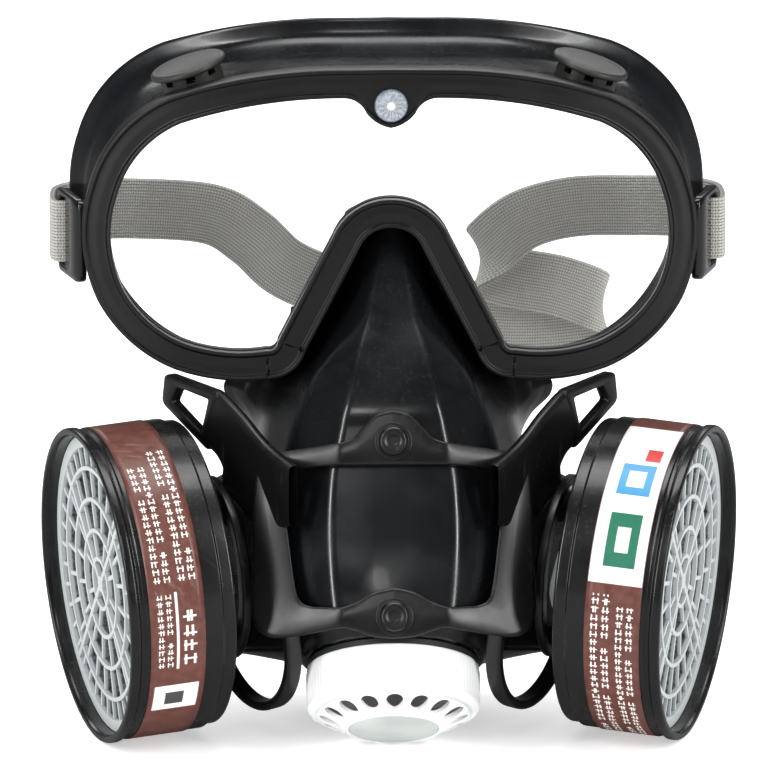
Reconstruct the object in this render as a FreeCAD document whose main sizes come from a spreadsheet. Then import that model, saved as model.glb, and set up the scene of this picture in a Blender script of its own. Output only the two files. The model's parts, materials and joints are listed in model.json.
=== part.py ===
import FreeCAD, Part
import Sketcher
import math
import os
import re

# Full face respirator: a goggle with a rubber skirt joined to a rubber half mask.
# Frame: +Z up, +X to the wearer's left, the front of the mask faces -Y.
# "left" and "right" in names are as someone facing the mask sees them, so "left" is the -X side.
# The origin is the middle of the face opening, on the plane where the face meets the half mask.
# All sizes are in millimetres and degrees.

DIMENSIONS = {
    # running gap between two parts that touch
    "part_gap": 0.1,
    # goggle: everything in its front follows one upright cylinder
    "goggle_bend_radius": 240.0,
    "goggle_front_y": -38.0,
    "frame_depth": 7.0,
    "frame_band": 7.8,
    "frame_rim_width": 1.3,
    "frame_rim_height": 0.8,
    "frame_rim_root": 0.2,
    "lens_thickness": 2.0,
    "lens_setback": 2.5,
    "lens_overlap": 2.8,
    "lens_clearance": 0.05,
    "button_radius": 4.5,
    "button_height": 72.4,
    "button_length": 9.0,
    "button_proud": 0.8,
    "button_edge": 0.6,
    "button_clearance": 0.1,
    "tab_radius": 6.2,
    # goggle skirt and its sealing flange, which follows the brow and temples
    "skirt_outer_offset": 6.5,
    "skirt_wall": 2.2,
    "flange_offset": 11.0,
    "flange_lift": 4.0,
    "flange_thickness": 2.4,
    "face_bend_radius": 150.0,
    "flange_front_y": -5.0,
    # vents on the top wall of the skirt
    "vent_across": 53.0,
    "vent_y": -14.0,
    "vent_height": 74.0,
    "vent_lean": 18.0,
    "vent_base_radius": 8.5,
    "vent_base_bore": 6.8,
    "vent_base_depth": 8.5,
    "vent_base_lift": 4.0,
    "vent_notch_width": 2.6,
    "vent_notch_depth": 1.8,
    "vent_cap_radius": 10.6,
    "vent_cap_thickness": 2.6,
    "vent_cap_dome": 1.0,
    "vent_cap_shoulder": 8.5,
    # strap clips and head strap
    "clip_thickness": 2.4,
    "clip_reach": 21.0,
    "clip_height": 23.0,
    "clip_corner": 3.0,
    "clip_slot_width": 4.0,
    "clip_slot_height": 18.6,
    "clip_bar": 3.0,
    "clip_toe": 16.0,
    "clip_x": 83.6,
    "clip_y": -9.0,
    "clip_z": 30.0,
    "strap_width": 17.0,
    "strap_thickness": 1.6,
    # half mask
    "facepiece_wall": 2.6,
    "facepiece_squareness": 2.2,
    # yoke
    "yoke_bend_radius": 75.0,
    "yoke_thickness": 2.6,
    "yoke_front_y": -74.0,
    "yoke_middle_z": -37.0,
    "yoke_lean": 20.0,
    "yoke_peg_upper": 24.7,
    "yoke_peg_lower": -22.6,
    "yoke_peg_hole": 2.8,
    "yoke_can_gap": 0.4,
    "yoke_boss_radius": 8.6,
    "yoke_arm_turn": 55.0,
    "yoke_ring_outer": 25.0,
    "yoke_ring_inner": 20.4,
    "yoke_ring_thickness": 2.4,
    "yoke_ring_setback": 9.2,
    "strap_ring_bar": 2.1,
    "knob_radius": 4.1,
    "knob_head": 2.4,
    "knob_bevel": 0.95,
    "knob_dish": 0.4,
    "knob_shank": 2.7,
    "knob_shank_length": 5.2,
    # filter cartridges, each about its own axis, measured from the back of the can
    "cartridge_x": 54.1,
    "cartridge_y": -42.0,
    "cartridge_z": -55.2,
    "cartridge_sweep": 16.6,
    "cartridge_droop": 3.6,
    "can_bead_radius": 43.0,
    "can_radius": 42.3,
    "can_foot_radius": 41.5,
    "can_length": 30.0,
    "can_foot_length": 3.6,
    "can_bead_width": 2.6,
    "can_step": 0.5,
    "can_edge": 0.72,
    "can_wall": 1.6,
    "can_back": 2.0,
    "spigot_radius": 14.0,
    "spigot_bore": 11.6,
    "spigot_length": 10.0,
    "label_start": 9.2,
    "label_width": 15.3,
    "label_thickness": 0.25,
    "label_glue": 0.02,
    "grille_setback": 6.4,
    "grille_thickness": 2.4,
    "grille_rim": 3.2,
    "grille_rib": 1.1,
    "grille_spoke": 1.43,
    "grille_hub": 2.16,
    "grille_rib_height": 1.92,
    "grille_join": 0.8,
    "filler_clearance": 0.2,
    "layer_gap": 0.05,
    "screen_thickness": 0.8,
    "carbon_depth": 14.6,
    "dust_filter_depth": 4.8,
    # cartridge sockets in the half mask
    "thread_clearance": 0.15,
    "gasket_gap": 0.1,
    "gasket_slack": 0.3,
    "gasket_thickness": 2.0,
    "gasket_radius": 17.4,
    "socket_radius": 17.0,
    "socket_length": 12.0,
    "socket_flange_radius": 18.6,
    "socket_flange": 1.6,
    "socket_step": 0.5,
    "socket_proud": 0.6,
    "port_boss_radius": 20.0,
    "port_boss_length": 20.0,
    "seat_thickness": 1.8,
    "seat_land": 9.4,
    "seat_hub": 2.4,
    "seat_rib": 1.6,
    "seat_join": 0.5,
    "stud_radius": 1.1,
    "stud_head_radius": 2.1,
    "stud_head": 0.7,
    "stud_slack": 0.3,
    "flap_radius": 11.2,
    "flap_thickness": 0.7,
    "flap_gap": 0.1,
    "flap_hole": 1.4,
    "flap_travel": 1.2,
    # exhalation valve, about its own axis, measured from the rear edge of the white cap
    "outlet_y": -61.7,
    "outlet_z": -77.95,
    "outlet_dip": 58.0,
    "cap_radius": 23.25,
    "cap_side": 11.5,
    "cap_face_radius": 12.65,
    "cap_length": 17.0,
    "cap_wall": 1.6,
    "cap_corner": 0.6,
    "cap_edge": 0.96,
    "cap_hole_ring": 17.6,
    "cap_hole_radius": 2.2,
    "washer_thickness": 1.4,
    "washer_gap": 0.15,
    "outlet_seat_radius": 21.45,
    "outlet_seat_bore": 18.6,
    "outlet_seat_front": 5.5,
    "outlet_seat_back": 8.0,
    "outlet_flange_radius": 22.2,
    "outlet_flange": 1.5,
    "outlet_boss_radius": 23.5,
    "outlet_boss_length": 20.0,
    "outlet_bore_depth": 17.6,
    "outlet_land": 14.0,
    "outlet_flap_radius": 15.6,
}

WORDS = re.compile(r"\b(%s)\b" % "|".join(sorted(DIMENSIONS, key=len, reverse=True)))
SIDES = {"left": -1, "right": 1}
ROOM = 150.0  # half the size of the blocks that outlines are pushed through
X_AXIS = FreeCAD.Vector(1, 0, 0)
Y_AXIS = FreeCAD.Vector(0, 1, 0)
Z_AXIS = FreeCAD.Vector(0, 0, 1)

doc = FreeCAD.newDocument("FullFaceRespirator")
dims = doc.addObject("Spreadsheet::Sheet", "dims")
subparts = []


def fill_sheet():
    for row, (alias, value) in enumerate(DIMENSIONS.items(), start=1):
        dims.set("A%d" % row, alias.replace("_", " "))
        dims.set("B%d" % row, str(value))
        dims.setAlias("B%d" % row, alias)
    doc.recompute()


def size(alias):
    return float(dims.get(alias))


def bind(obj, prop, formula):
    obj.setExpression(prop, WORDS.sub(r"dims.\1", formula))


def finish(obj, label, placement=None):
    obj.Label = label
    if placement is not None:
        obj.Placement = placement
    subparts.append(obj)
    return obj


# ---------- general builders ----------

def origin_feature(body, role):
    return next(item for item in body.Origin.OriginFeatures if item.Role == role)


def bound_polygon(body, name, role, corners):
    """A closed sketch outline whose corners are all driven by the sheet."""
    sketch = body.newObject("Sketcher::SketchObject", name)
    sketch.AttachmentSupport = [(origin_feature(body, role), "")]
    sketch.MapMode = "FlatFace"
    count = len(corners)
    start = [FreeCAD.Vector(30 + 9 * math.cos(2 * math.pi * i / count),
                            9 * math.sin(2 * math.pi * i / count), 0) for i in range(count)]
    for i in range(count):
        sketch.addGeometry(Part.LineSegment(start[i], start[(i + 1) % count]), False)
    for i in range(count):
        sketch.addConstraint(Sketcher.Constraint("Coincident", i, 2, (i + 1) % count, 1))
    for i, (across, along) in enumerate(corners):
        for kind, formula, axis in (("DistanceX", across, -2), ("DistanceY", along, -1)):
            if formula == "0":
                sketch.addConstraint(Sketcher.Constraint("PointOnObject", i, 1, axis))
            else:
                index = sketch.addConstraint(Sketcher.Constraint(kind, -1, 1, i, 1, 10.0))
                bind(sketch, "Constraints[%d]" % index, formula)
    return sketch


def turned(label, corners):
    """A body of revolution about its own Z axis; corners are (radius, height) formulas."""
    body = doc.addObject("PartDesign::Body", label)
    sketch = bound_polygon(body, label + "_profile", "XZ_Plane", corners)
    turn = body.newObject("PartDesign::Revolution", label + "_turn")
    turn.Profile = sketch
    turn.ReferenceAxis = (sketch, ["V_Axis"])
    turn.Angle = 360
    sketch.Visibility = False
    doc.recompute()
    return body


def round_edges(body, formula, wanted):
    """Rounds the circular edges of the body whose (radius, height) the test accepts."""
    names = []
    for number, edge in enumerate(body.Shape.Edges, start=1):
        curve = edge.Curve
        if isinstance(curve, Part.Circle) and wanted(curve.Radius, curve.Center.z):
            names.append("Edge%d" % number)
    sharp = body.Tip
    fillet = body.newObject("PartDesign::Fillet", body.Name + "_round")
    fillet.Base = (sharp, names)
    bind(fillet, "Radius", formula)
    doc.recompute()
    return body


def near(value, alias_value):
    return abs(value - alias_value) < 0.01


def cylinder(name, radius, height, lift="0"):
    shape = doc.addObject("Part::Cylinder", name)
    bind(shape, "Radius", radius)
    bind(shape, "Height", height)
    bind(shape, "Placement.Base.z", lift)
    return shape


def tube(name, outer, inner, height, lift="0"):
    cut = doc.addObject("Part::Cut", name)
    cut.Base = cylinder(name + "_outer", outer, height, lift)
    cut.Tool = cylinder(name + "_inner", inner, height, lift)
    return cut


def spoke(name, angle, inner, length, width, height, lift="0"):
    """A straight bar that runs outward at an angle, starting at the inner radius."""
    bar = doc.addObject("Part::Box", name)
    bind(bar, "Length", length)
    bind(bar, "Width", width)
    bind(bar, "Height", height)
    doc.recompute()
    turn = FreeCAD.Rotation(Z_AXIS, angle)
    corner = turn.multVec(FreeCAD.Vector(inner, -bar.Width.Value / 2, 0))
    bar.Placement = FreeCAD.Placement(corner, turn)
    bind(bar, "Placement.Base.z", lift)
    return bar


def fused(name, pieces):
    joined = doc.addObject("Part::MultiFuse", name)
    joined.Shapes = pieces
    joined.Refine = True
    return joined


def shaped(label, shape):
    """A sub-part whose free form is worked out by the calling function."""
    feature = doc.addObject("Part::Feature", label)
    feature.Shape = shape
    return finish(feature, label)


def axis_frame(base, axis, up=Z_AXIS):
    """A placement whose Z runs along the axis and whose Y stays as near to up as it can."""
    side = up.cross(axis)
    side.normalize()
    return FreeCAD.Placement(base, FreeCAD.Rotation(side, axis.cross(side), axis, "ZYX"))


def cartridge_frame(side):
    sweep = math.radians(size("cartridge_sweep"))
    droop = math.radians(size("cartridge_droop"))
    axis = FreeCAD.Vector(side * math.cos(sweep) * math.cos(droop),
                          -math.sin(sweep) * math.cos(droop),
                          -math.sin(droop))
    base = FreeCAD.Vector(side * size("cartridge_x"), size("cartridge_y"), size("cartridge_z"))
    return axis_frame(base, axis)


def outlet_frame():
    dip = math.radians(size("outlet_dip"))
    axis = FreeCAD.Vector(0, -math.cos(dip), -math.sin(dip))
    base = FreeCAD.Vector(0, size("outlet_y"), size("outlet_z"))
    return axis_frame(base, axis)


def rod(placement, radius, start, end):
    """A plain cylinder along a placement's Z, between two heights."""
    shape = Part.makeCylinder(radius, end - start, FreeCAD.Vector(0, 0, start), Z_AXIS)
    shape.Placement = placement.multiply(shape.Placement)
    return shape


def arc_through(first, middle, last):
    return Part.Arc(first, middle, last).toShape()


def mirrored_outline(half, start):
    """A closed wire in the XZ plane from its +X half.

    half is a list of (kind, points): "line" takes one end point, "arc" a middle and an end.
    start is the (x, z) point on the middle line where both halves begin.
    """
    edges = []
    for sign in (1, -1):
        here = FreeCAD.Vector(sign * start[0], 0, start[1])
        for kind, points in half:
            stops = [FreeCAD.Vector(sign * x, 0, z) for x, z in points]
            if kind == "line":
                edges.append(Part.makeLine(here, stops[-1]))
            else:
                edges.append(arc_through(here, stops[0], stops[1]))
            here = stops[-1]
    return Part.Wire(Part.__sortEdges__(edges))


# ---------- goggle ----------

def window_wire(with_tab):
    """Edge of the clear window, seen from the front: flat brow, round temples, nose notch."""
    if with_tab:
        drop = size("button_height") - size("tab_radius")
        start = (0, drop)
        brow = [("arc", [(4.6, drop + 2.0), (6.6, 70.2)]), ("arc", [(8.6, 72.9), (12.5, 74.3)])]
    else:
        start = (0, 74.5)
        brow = [("line", [(12.5, 74.3)])]
    temple = [
        ("arc", [(36, 72.0), (56.5, 66.3)]),
        ("arc", [(67.6, 57.6), (73.8, 45.5)]),
        ("arc", [(75.6, 33.0), (72.4, 19.6)]),
        ("arc", [(65.6, 11.2), (56.0, 5.6)]),
        ("arc", [(46.0, 3.7), (33.6, 4.4)]),
        ("arc", [(31.6, 4.9), (30.6, 6.9)]),
    ]
    nose = [("line", [(15.8, 35.9)]), ("arc", [(9.0, 44.0), (0, 46.5)])]
    return mirrored_outline(brow + temple + nose, start)


def offset_wire(wire, distance, lift=0.0):
    moved = wire.makeOffset2D(distance, 0, False, False, False)
    moved.translate(FreeCAD.Vector(0, 0, lift))
    return moved


def prism(outer, inner=None):
    """The outline pushed through the whole depth of the goggle."""
    face = Part.Face(outer)
    if inner is not None:
        face = face.cut(Part.Face(inner))
    face.translate(FreeCAD.Vector(0, -ROOM, 0))
    return face.extrude(FreeCAD.Vector(0, 2 * ROOM, 0))


def upright(front_y, bend, inset=0.0):
    """An upright cylinder with its front at front_y, shrunk by the inset."""
    return Part.makeCylinder(bend - inset, 2 * ROOM, FreeCAD.Vector(0, front_y + bend, -ROOM), Z_AXIS)


def bent_layer(front_y, bend, depth):
    """A sheet of the given depth bent to an upright cylinder, its front middle at front_y."""
    front = Part.makeBox(2 * ROOM, bend, 2 * ROOM, FreeCAD.Vector(-ROOM, front_y, -ROOM))
    return upright(front_y, bend).common(front).cut(upright(front_y, bend, depth))


def goggle_layer(setback, depth):
    """A layer of the goggle's front, measured back from the face of the frame."""
    front = size("goggle_front_y") + setback
    return bent_layer(front, size("goggle_bend_radius") - setback, depth)


def button_rod(clearance, start, end):
    middle = FreeCAD.Vector(0, size("goggle_front_y"), size("button_height"))
    return rod(axis_frame(middle, -Y_AXIS), size("button_radius") + clearance, start, end)


def button_hole(clearance):
    return button_rod(clearance, -1.5 * size("button_length"), size("button_length"))


def make_goggle_frame():
    window = window_wire(False)
    band = size("frame_band")
    rim = size("frame_rim_width")
    height = size("frame_rim_height")
    outer = offset_wire(window, band)
    body = prism(outer, window_wire(True)).common(goggle_layer(height, size("frame_depth") - height))
    raised = goggle_layer(0, height + size("frame_rim_root"))
    outer_rim = prism(outer, offset_wire(window, band - rim)).common(raised)
    inner_rim = prism(offset_wire(window, rim), window).common(raised)
    groove_gap = size("lens_clearance")
    lens_room = prism(offset_wire(window, size("lens_overlap") + groove_gap)).common(
        goggle_layer(size("lens_setback") - groove_gap, size("lens_thickness") + 2 * groove_gap))
    shape = body.fuse([outer_rim, inner_rim]).cut([lens_room, button_hole(size("button_clearance"))])
    shaped("goggle_frame", shape.removeSplitter())


def make_lens():
    outline = offset_wire(window_wire(False), size("lens_overlap"))
    sheet = prism(outline).common(goggle_layer(size("lens_setback"), size("lens_thickness")))
    shaped("lens", sheet.cut(button_hole(2 * size("button_clearance"))))


def make_lens_button():
    proud = size("button_proud")
    stem = button_rod(0, proud - size("button_length"), proud)
    front_rim = [edge for edge in stem.Edges if near(edge.BoundBox.YMin, edge.BoundBox.YMax)
                 and edge.BoundBox.YMax < size("goggle_front_y")]
    shaped("lens_button", stem.makeFillet(size("button_edge"), front_rim))


def vent_frame(side):
    lean = math.radians(size("vent_lean"))
    axis = FreeCAD.Vector(side * math.sin(lean), -0.05, math.cos(lean))
    axis.normalize()
    base = FreeCAD.Vector(side * size("vent_across"), size("vent_y"), size("vent_height"))
    return axis_frame(base, axis, up=-Y_AXIS)


def make_goggle_skirt():
    window = window_wire(False)
    outer = offset_wire(window, size("skirt_outer_offset"))
    inner = offset_wire(window, size("skirt_outer_offset") - size("skirt_wall"))
    behind_frame = upright(size("goggle_front_y"), size("goggle_bend_radius"),
                           size("frame_depth") + size("part_gap"))
    bend = size("face_bend_radius")
    head = upright(size("flange_front_y"), bend, size("flange_thickness"))
    tunnel = prism(outer, inner).common(behind_frame).cut(head)
    flange = prism(offset_wire(window, size("flange_offset"), size("flange_lift")), inner)
    flange = flange.common(bent_layer(size("flange_front_y"), bend, size("flange_thickness")))
    reach = 2 * size("vent_base_lift")
    holes = [rod(vent_frame(side), size("vent_base_radius") + size("part_gap"), -reach, reach) for side in SIDES.values()]
    shaped("goggle_skirt", tunnel.fuse(flange).cut(holes).removeSplitter())


def make_vents(name, side):
    base = turned("vent_base_" + name, [
        ("vent_base_bore", "vent_base_lift - vent_base_depth"),
        ("vent_base_radius", "vent_base_lift - vent_base_depth"),
        ("vent_base_radius", "vent_base_lift"),
        ("vent_base_bore", "vent_base_lift"),
    ])
    notch = bound_polygon(base, base.Name + "_notch", "XZ_Plane", [
        ("vent_notch_width / 2", "vent_base_lift - vent_notch_depth"),
        ("vent_notch_width / 2", "vent_base_lift + 1"),
        ("-vent_notch_width / 2", "vent_base_lift + 1"),
        ("-vent_notch_width / 2", "vent_base_lift - vent_notch_depth"),
    ])
    cut = base.newObject("PartDesign::Pocket", base.Name + "_notches")
    cut.Profile = notch
    cut.Type = "ThroughAll"
    cut.Midplane = True
    doc.recompute()
    around = base.newObject("PartDesign::PolarPattern", base.Name + "_castellations")
    around.Originals = [cut]
    around.Axis = (origin_feature(base, "Z_Axis"), [""])
    around.Angle = 360
    around.Occurrences = 8
    base.Tip = around
    finish(base, "vent_base_" + name, vent_frame(side))

    cap = turned("vent_cap_" + name, [
        ("0", "vent_base_lift + part_gap / 2"),
        ("vent_cap_radius", "vent_base_lift + part_gap / 2"),
        ("vent_cap_radius", "vent_base_lift + vent_cap_thickness - vent_cap_dome"),
        ("vent_cap_shoulder", "vent_base_lift + vent_cap_thickness - vent_cap_dome / 3"),
        ("0", "vent_base_lift + vent_cap_thickness"),
    ])
    finish(cap, "vent_cap_" + name, vent_frame(side))


# ---------- strap and clips ----------

def clip_frame(side):
    """Local X runs back along the plate, local Y up, local Z out of the side of the goggle."""
    toe = math.radians(size("clip_toe"))
    along = FreeCAD.Vector(side * math.sin(toe), math.cos(toe), 0)
    out = FreeCAD.Vector(side * math.cos(toe), -math.sin(toe), 0)
    base = FreeCAD.Vector(side * size("clip_x"), size("clip_y"), size("clip_z"))
    return FreeCAD.Placement(base, FreeCAD.Rotation(along, out.cross(along), out, "ZXY"))


def make_clip(name, side):
    body = doc.addObject("PartDesign::Body", "strap_clip_" + name)
    plate = bound_polygon(body, body.Name + "_outline", "XY_Plane", [
        ("-clip_reach / 4", "-clip_height / 2"),
        ("clip_reach * 3 / 4", "-clip_height / 2"),
        ("clip_reach * 3 / 4", "clip_height / 2"),
        ("-clip_reach / 4", "clip_height / 2"),
    ])
    pad = body.newObject("PartDesign::Pad", body.Name + "_plate")
    pad.Profile = plate
    bind(pad, "Length", "clip_thickness")
    doc.recompute()
    slot = bound_polygon(body, body.Name + "_slot", "XY_Plane", [
        ("clip_reach * 3 / 4 - clip_bar - clip_slot_width", "-clip_slot_height / 2"),
        ("clip_reach * 3 / 4 - clip_bar", "-clip_slot_height / 2"),
        ("clip_reach * 3 / 4 - clip_bar", "clip_slot_height / 2"),
        ("clip_reach * 3 / 4 - clip_bar - clip_slot_width", "clip_slot_height / 2"),
    ])
    cut = body.newObject("PartDesign::Pocket", body.Name + "_opening")
    cut.Profile = slot
    cut.Type = "ThroughAll"
    cut.Midplane = True
    doc.recompute()
    half = size("clip_height") / 2
    corners = ["Edge%d" % i for i, edge in enumerate(body.Shape.Edges, start=1)
               if near(edge.Length, size("clip_thickness")) and near(abs(edge.CenterOfMass.y), half)]
    fillet = body.newObject("PartDesign::Fillet", body.Name + "_corners")
    fillet.Base = (cut, corners)
    bind(fillet, "Radius", "clip_corner")
    doc.recompute()
    finish(body, "strap_clip_" + name, clip_frame(side))


# Middle line of the slack head strap, from the right clip round the back to the left one.
STRAP_ROUTE = [
    (85.4, 1.7, 30.0), (88.9, 0.7, 30.0), (91.2, 2.2, 30.0), (91.8, 11.0, 30.0), (90.6, 24.0, 29.5),
    (84.0, 36.0, 28.5),
    (70.0, 43.0, 27.5), (52.0, 46.0, 26.5), (38.0, 46.5, 22.5), (28.5, 48.0, 14.0), (28.0, 52.5, 8.0),
    (36.0, 55.5, 4.5), (48.0, 56.5, 2.0), (58.5, 59.0, -2.5), (60.0, 64.0, -7.0), (52.0, 67.0, -9.5),
    (36.0, 66.0, -10.0), (18.0, 62.0, -7.0), (0.0, 57.0, -1.5), (-16.0, 53.0, 3.0), (-28.0, 50.0, 9.0),
    (-37.0, 47.0, 18.0), (-48.0, 45.0, 25.0), (-68.0, 41.5, 27.5), (-83.5, 35.0, 28.5),
    (-90.4, 23.5, 29.5), (-91.8, 11.0, 30.0), (-91.2, 2.2, 30.0), (-88.9, 0.7, 30.0), (-85.4, 1.7, 30.0),
]


def make_head_strap():
    spine = Part.BSplineCurve()
    spine.interpolate([FreeCAD.Vector(*point) for point in STRAP_ROUTE])
    half_width = size("strap_width") / 2
    half_depth = size("strap_thickness") / 2
    stations = 3 * len(STRAP_ROUTE)
    sections = []
    for i in range(stations + 1):
        u = spine.FirstParameter + (spine.LastParameter - spine.FirstParameter) * i / stations
        tangent = spine.tangent(u)[0]
        across = Z_AXIS - tangent * Z_AXIS.dot(tangent)
        across.normalize()
        through = tangent.cross(across)
        middle = spine.value(u)
        corners = [middle + across * (half_width * a) + through * (half_depth * b)
                   for a, b in ((-1, -1), (1, -1), (1, 1), (-1, 1), (-1, -1))]
        sections.append(Part.makePolygon(corners))
    shaped("head_strap", Part.makeLoft(sections, True, True))


# ---------- half mask ----------

# Level cuts through the half mask: height, half width at the face, reach of the front.
FACEPIECE_CUTS = [
    (36.0, 5.5, 24.0), (22.0, 10.4, 35.0), (8.0, 16.8, 46.0), (-6.0, 25.0, 55.5), (-22.0, 37.0, 62.0),
    (-40.0, 45.0, 67.0), (-58.0, 44.0, 71.0), (-74.0, 37.0, 64.0), (-88.0, 24.0, 42.0),
]


def facepiece_cut(height, half_width, reach, back_y):
    """One level cut: a rounded front (superellipse) closed by a straight line at the back."""
    power = 2.0 / size("facepiece_squareness")
    steps = 12
    points = []
    for i in range(steps + 1):
        turn = math.pi * i / steps
        side = math.copysign(abs(math.cos(turn)) ** power, math.cos(turn))
        points.append(FreeCAD.Vector(half_width * side, back_y - (reach + back_y) * math.sin(turn) ** power,
                                     height))
    curve = Part.BSplineCurve()
    curve.interpolate(points)
    return Part.Wire([curve.toShape(), Part.makeLine(points[-1], points[0])])


def make_facepiece():
    wall = size("facepiece_wall")
    skin = [facepiece_cut(z, w, r, 0.0) for z, w, r in FACEPIECE_CUTS]
    outer = Part.makeLoft(skin, True, False)
    hollow_cuts = []
    for z, w, r in FACEPIECE_CUTS:
        inset = min(z, FACEPIECE_CUTS[0][0] - wall)
        inset = max(inset, FACEPIECE_CUTS[-1][0] + wall)
        hollow_cuts.append(facepiece_cut(inset, w - wall, r - wall, 2 * wall))
    inner = Part.makeLoft(hollow_cuts, True, False)
    gap = size("part_gap")
    start = -size("gasket_thickness") - 2 * size("gasket_gap") - size("socket_proud")
    inside = -size("socket_length") - size("socket_step") + gap
    deep = -2 * size("socket_radius")
    bosses = [outer]
    bores = []
    for side in SIDES.values():
        frame = cartridge_frame(side)
        bosses.append(rod(frame, size("port_boss_radius"), start - size("port_boss_length"), start))
        bores.append(rod(frame, size("socket_radius") + gap / 2, deep, 0))
        bores.append(rod(frame, size("socket_flange_radius") + gap, deep, inside))
    frame = outlet_frame()
    front = -size("washer_thickness") - 2 * size("washer_gap")
    bosses.append(rod(frame, size("outlet_boss_radius"), front - size("outlet_boss_length"), front))
    depth = -size("outlet_bore_depth")
    bores.append(rod(frame, size("outlet_seat_radius") - gap, depth, 0))
    bores.append(rod(frame, size("outlet_flange_radius") + gap, depth, -size("outlet_seat_back")))
    for place in yoke_peg_frames().values():
        bores.append(rod(place, size("knob_shank") + gap / 2, -2 * size("knob_shank_length"), 0))
    shape = bosses[0].fuse(bosses[1:]).cut(inner).cut(bores)
    whole = max(shape.Solids, key=lambda solid: solid.Volume)
    shaped("facepiece", whole)


# ---------- yoke ----------

def yoke_frame():
    """Local Z runs up the leaning front of the yoke, local -Y points out of it."""
    lean = FreeCAD.Rotation(X_AXIS, -size("yoke_lean"))
    return FreeCAD.Placement(FreeCAD.Vector(0, size("yoke_front_y"), size("yoke_middle_z")), lean)


def yoke_peg_frames():
    """Frames of the two pegs: the origin on the back of the plate, Z out of its front."""
    frames = {}
    for name in ("upper", "lower"):
        local = FreeCAD.Vector(0, size("yoke_thickness"), size("yoke_peg_" + name))
        base = yoke_frame().multVec(local)
        out = yoke_frame().Rotation.multVec(-Y_AXIS)
        frames[name] = axis_frame(base, out)
    return frames


def yoke_front():
    """The window-shaped front of the yoke, bent round the mask."""
    outline = mirrored_outline([
        ("arc", [(6.0, 31.0), (10.0, 26.6)]),
        ("arc", [(12.0, 24.8), (15.0, 24.4)]),
        ("line", [(36.0, 22.0)]),
        ("line", [(38.0, -8.0)]),
        ("line", [(38.5, -20.0)]),
        ("arc", [(36.0, -26.0), (31.0, -27.5)]),
        ("line", [(12.0, -25.4)]),
        ("arc", [(6.0, -27.9), (0, -28.4)]),
    ], (0, size("yoke_peg_upper") + size("yoke_boss_radius")))
    opening = mirrored_outline([
        ("line", [(24.0, 18.4)]),
        ("arc", [(28.6, 17.0), (29.8, 12.6)]),
        ("line", [(26.4, -14.0)]),
        ("arc", [(25.0, -18.0), (21.0, -19.4)]),
        ("line", [(12.0, -20.0)]),
        ("arc", [(6.0, -16.6), (0, -14.6)]),
    ], (0, 18.4))
    bend = size("yoke_bend_radius")
    layer = bent_layer(0, bend, size("yoke_thickness"))
    return prism(outline, opening).common(layer)


def yoke_arm(side):
    """Flat arm that runs back beside the goggle and ends in a loop for a head strap."""
    turn = math.radians(size("yoke_arm_turn"))
    start = FreeCAD.Vector(side * 29.0, -67.2, 0)
    along = FreeCAD.Vector(side * math.cos(turn), math.sin(turn), 0)

    def corner(across, height):
        return start + along * ((across - 29.0) / math.cos(turn)) + Z_AXIS * height

    outline = [(29.0, -18.5), (34.5, -15.5), (39.0, -11.0), (45.7, -6.0), (53.0, -4.8), (59.0, -5.0),
               (61.0, -12.5), (53.6, -21.0), (49.0, -27.0), (46.5, -36.5), (42.0, -40.0), (29.0, -36.0)]
    loop = [(56.6, -7.3), (48.6, -8.0), (50.6, -17.8), (58.2, -11.8)]
    plate = Part.Face(Part.makePolygon([corner(x, z) for x, z in outline + outline[:1]]))
    plate = plate.cut(Part.Face(Part.makePolygon([corner(x, z) for x, z in loop + loop[:1]])))
    normal = along.cross(Z_AXIS)
    normal.normalize()
    plate.translate(normal * (-size("yoke_thickness") / 2))
    return plate.extrude(normal * size("yoke_thickness"))


def strap_ring(side):
    """Round bar that hangs below the port for the neck strap."""
    ends = [FreeCAD.Vector(side * x, y, z) for x, y, z in
            ((29.0, -70.5, -59.5), (36.5, -51.0, -89.6), (46.6, -36.0, -78.4))]
    path = Part.Arc(*ends)
    section = Part.Wire(Part.makeCircle(size("strap_ring_bar"), ends[0],
                                        path.tangent(path.FirstParameter)[0]))
    return Part.Wire(path.toShape()).makePipeShell([section], True, False)


def make_yoke():
    front = yoke_front()
    front.Placement = yoke_frame()
    inside = upright(0, size("yoke_bend_radius"))
    inside.Placement = yoke_frame()
    pieces = []
    for side in SIDES.values():
        frame = cartridge_frame(side)
        back = -size("yoke_ring_setback")
        collar = rod(frame, size("yoke_ring_outer"), back, back + size("yoke_ring_thickness"))
        pieces += [yoke_arm(side).common(inside), collar, strap_ring(side)]
    shape = front.fuse(pieces)
    deep = 2 * size("yoke_thickness")
    cuts = [rod(place, size("yoke_peg_hole"), -deep, deep) for place in yoke_peg_frames().values()]
    for side in SIDES.values():
        cuts.append(rod(cartridge_frame(side), size("yoke_ring_inner"), -size("yoke_ring_inner"), 0))
        cuts.append(rod(cartridge_frame(side), size("can_bead_radius"), -size("yoke_can_gap"),
                        size("can_length")))
    shape = shape.cut(cuts).removeSplitter()
    shaped("yoke", shape)


def make_knobs():
    for name, place in yoke_peg_frames().items():
        knob = turned("retaining_knob_" + name, [
            ("0", "yoke_thickness + part_gap - knob_shank_length"),
            ("knob_shank", "yoke_thickness + part_gap - knob_shank_length"),
            ("knob_shank", "yoke_thickness + part_gap"),
            ("knob_radius", "yoke_thickness + part_gap"),
            ("knob_radius", "yoke_thickness + knob_head - knob_bevel"),
            ("knob_radius - knob_bevel", "yoke_thickness + knob_head"),
            ("0", "yoke_thickness + knob_head - knob_dish"),
        ])
        finish(knob, "retaining_knob_" + name, place)


# ---------- cartridges and their sockets ----------

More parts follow.
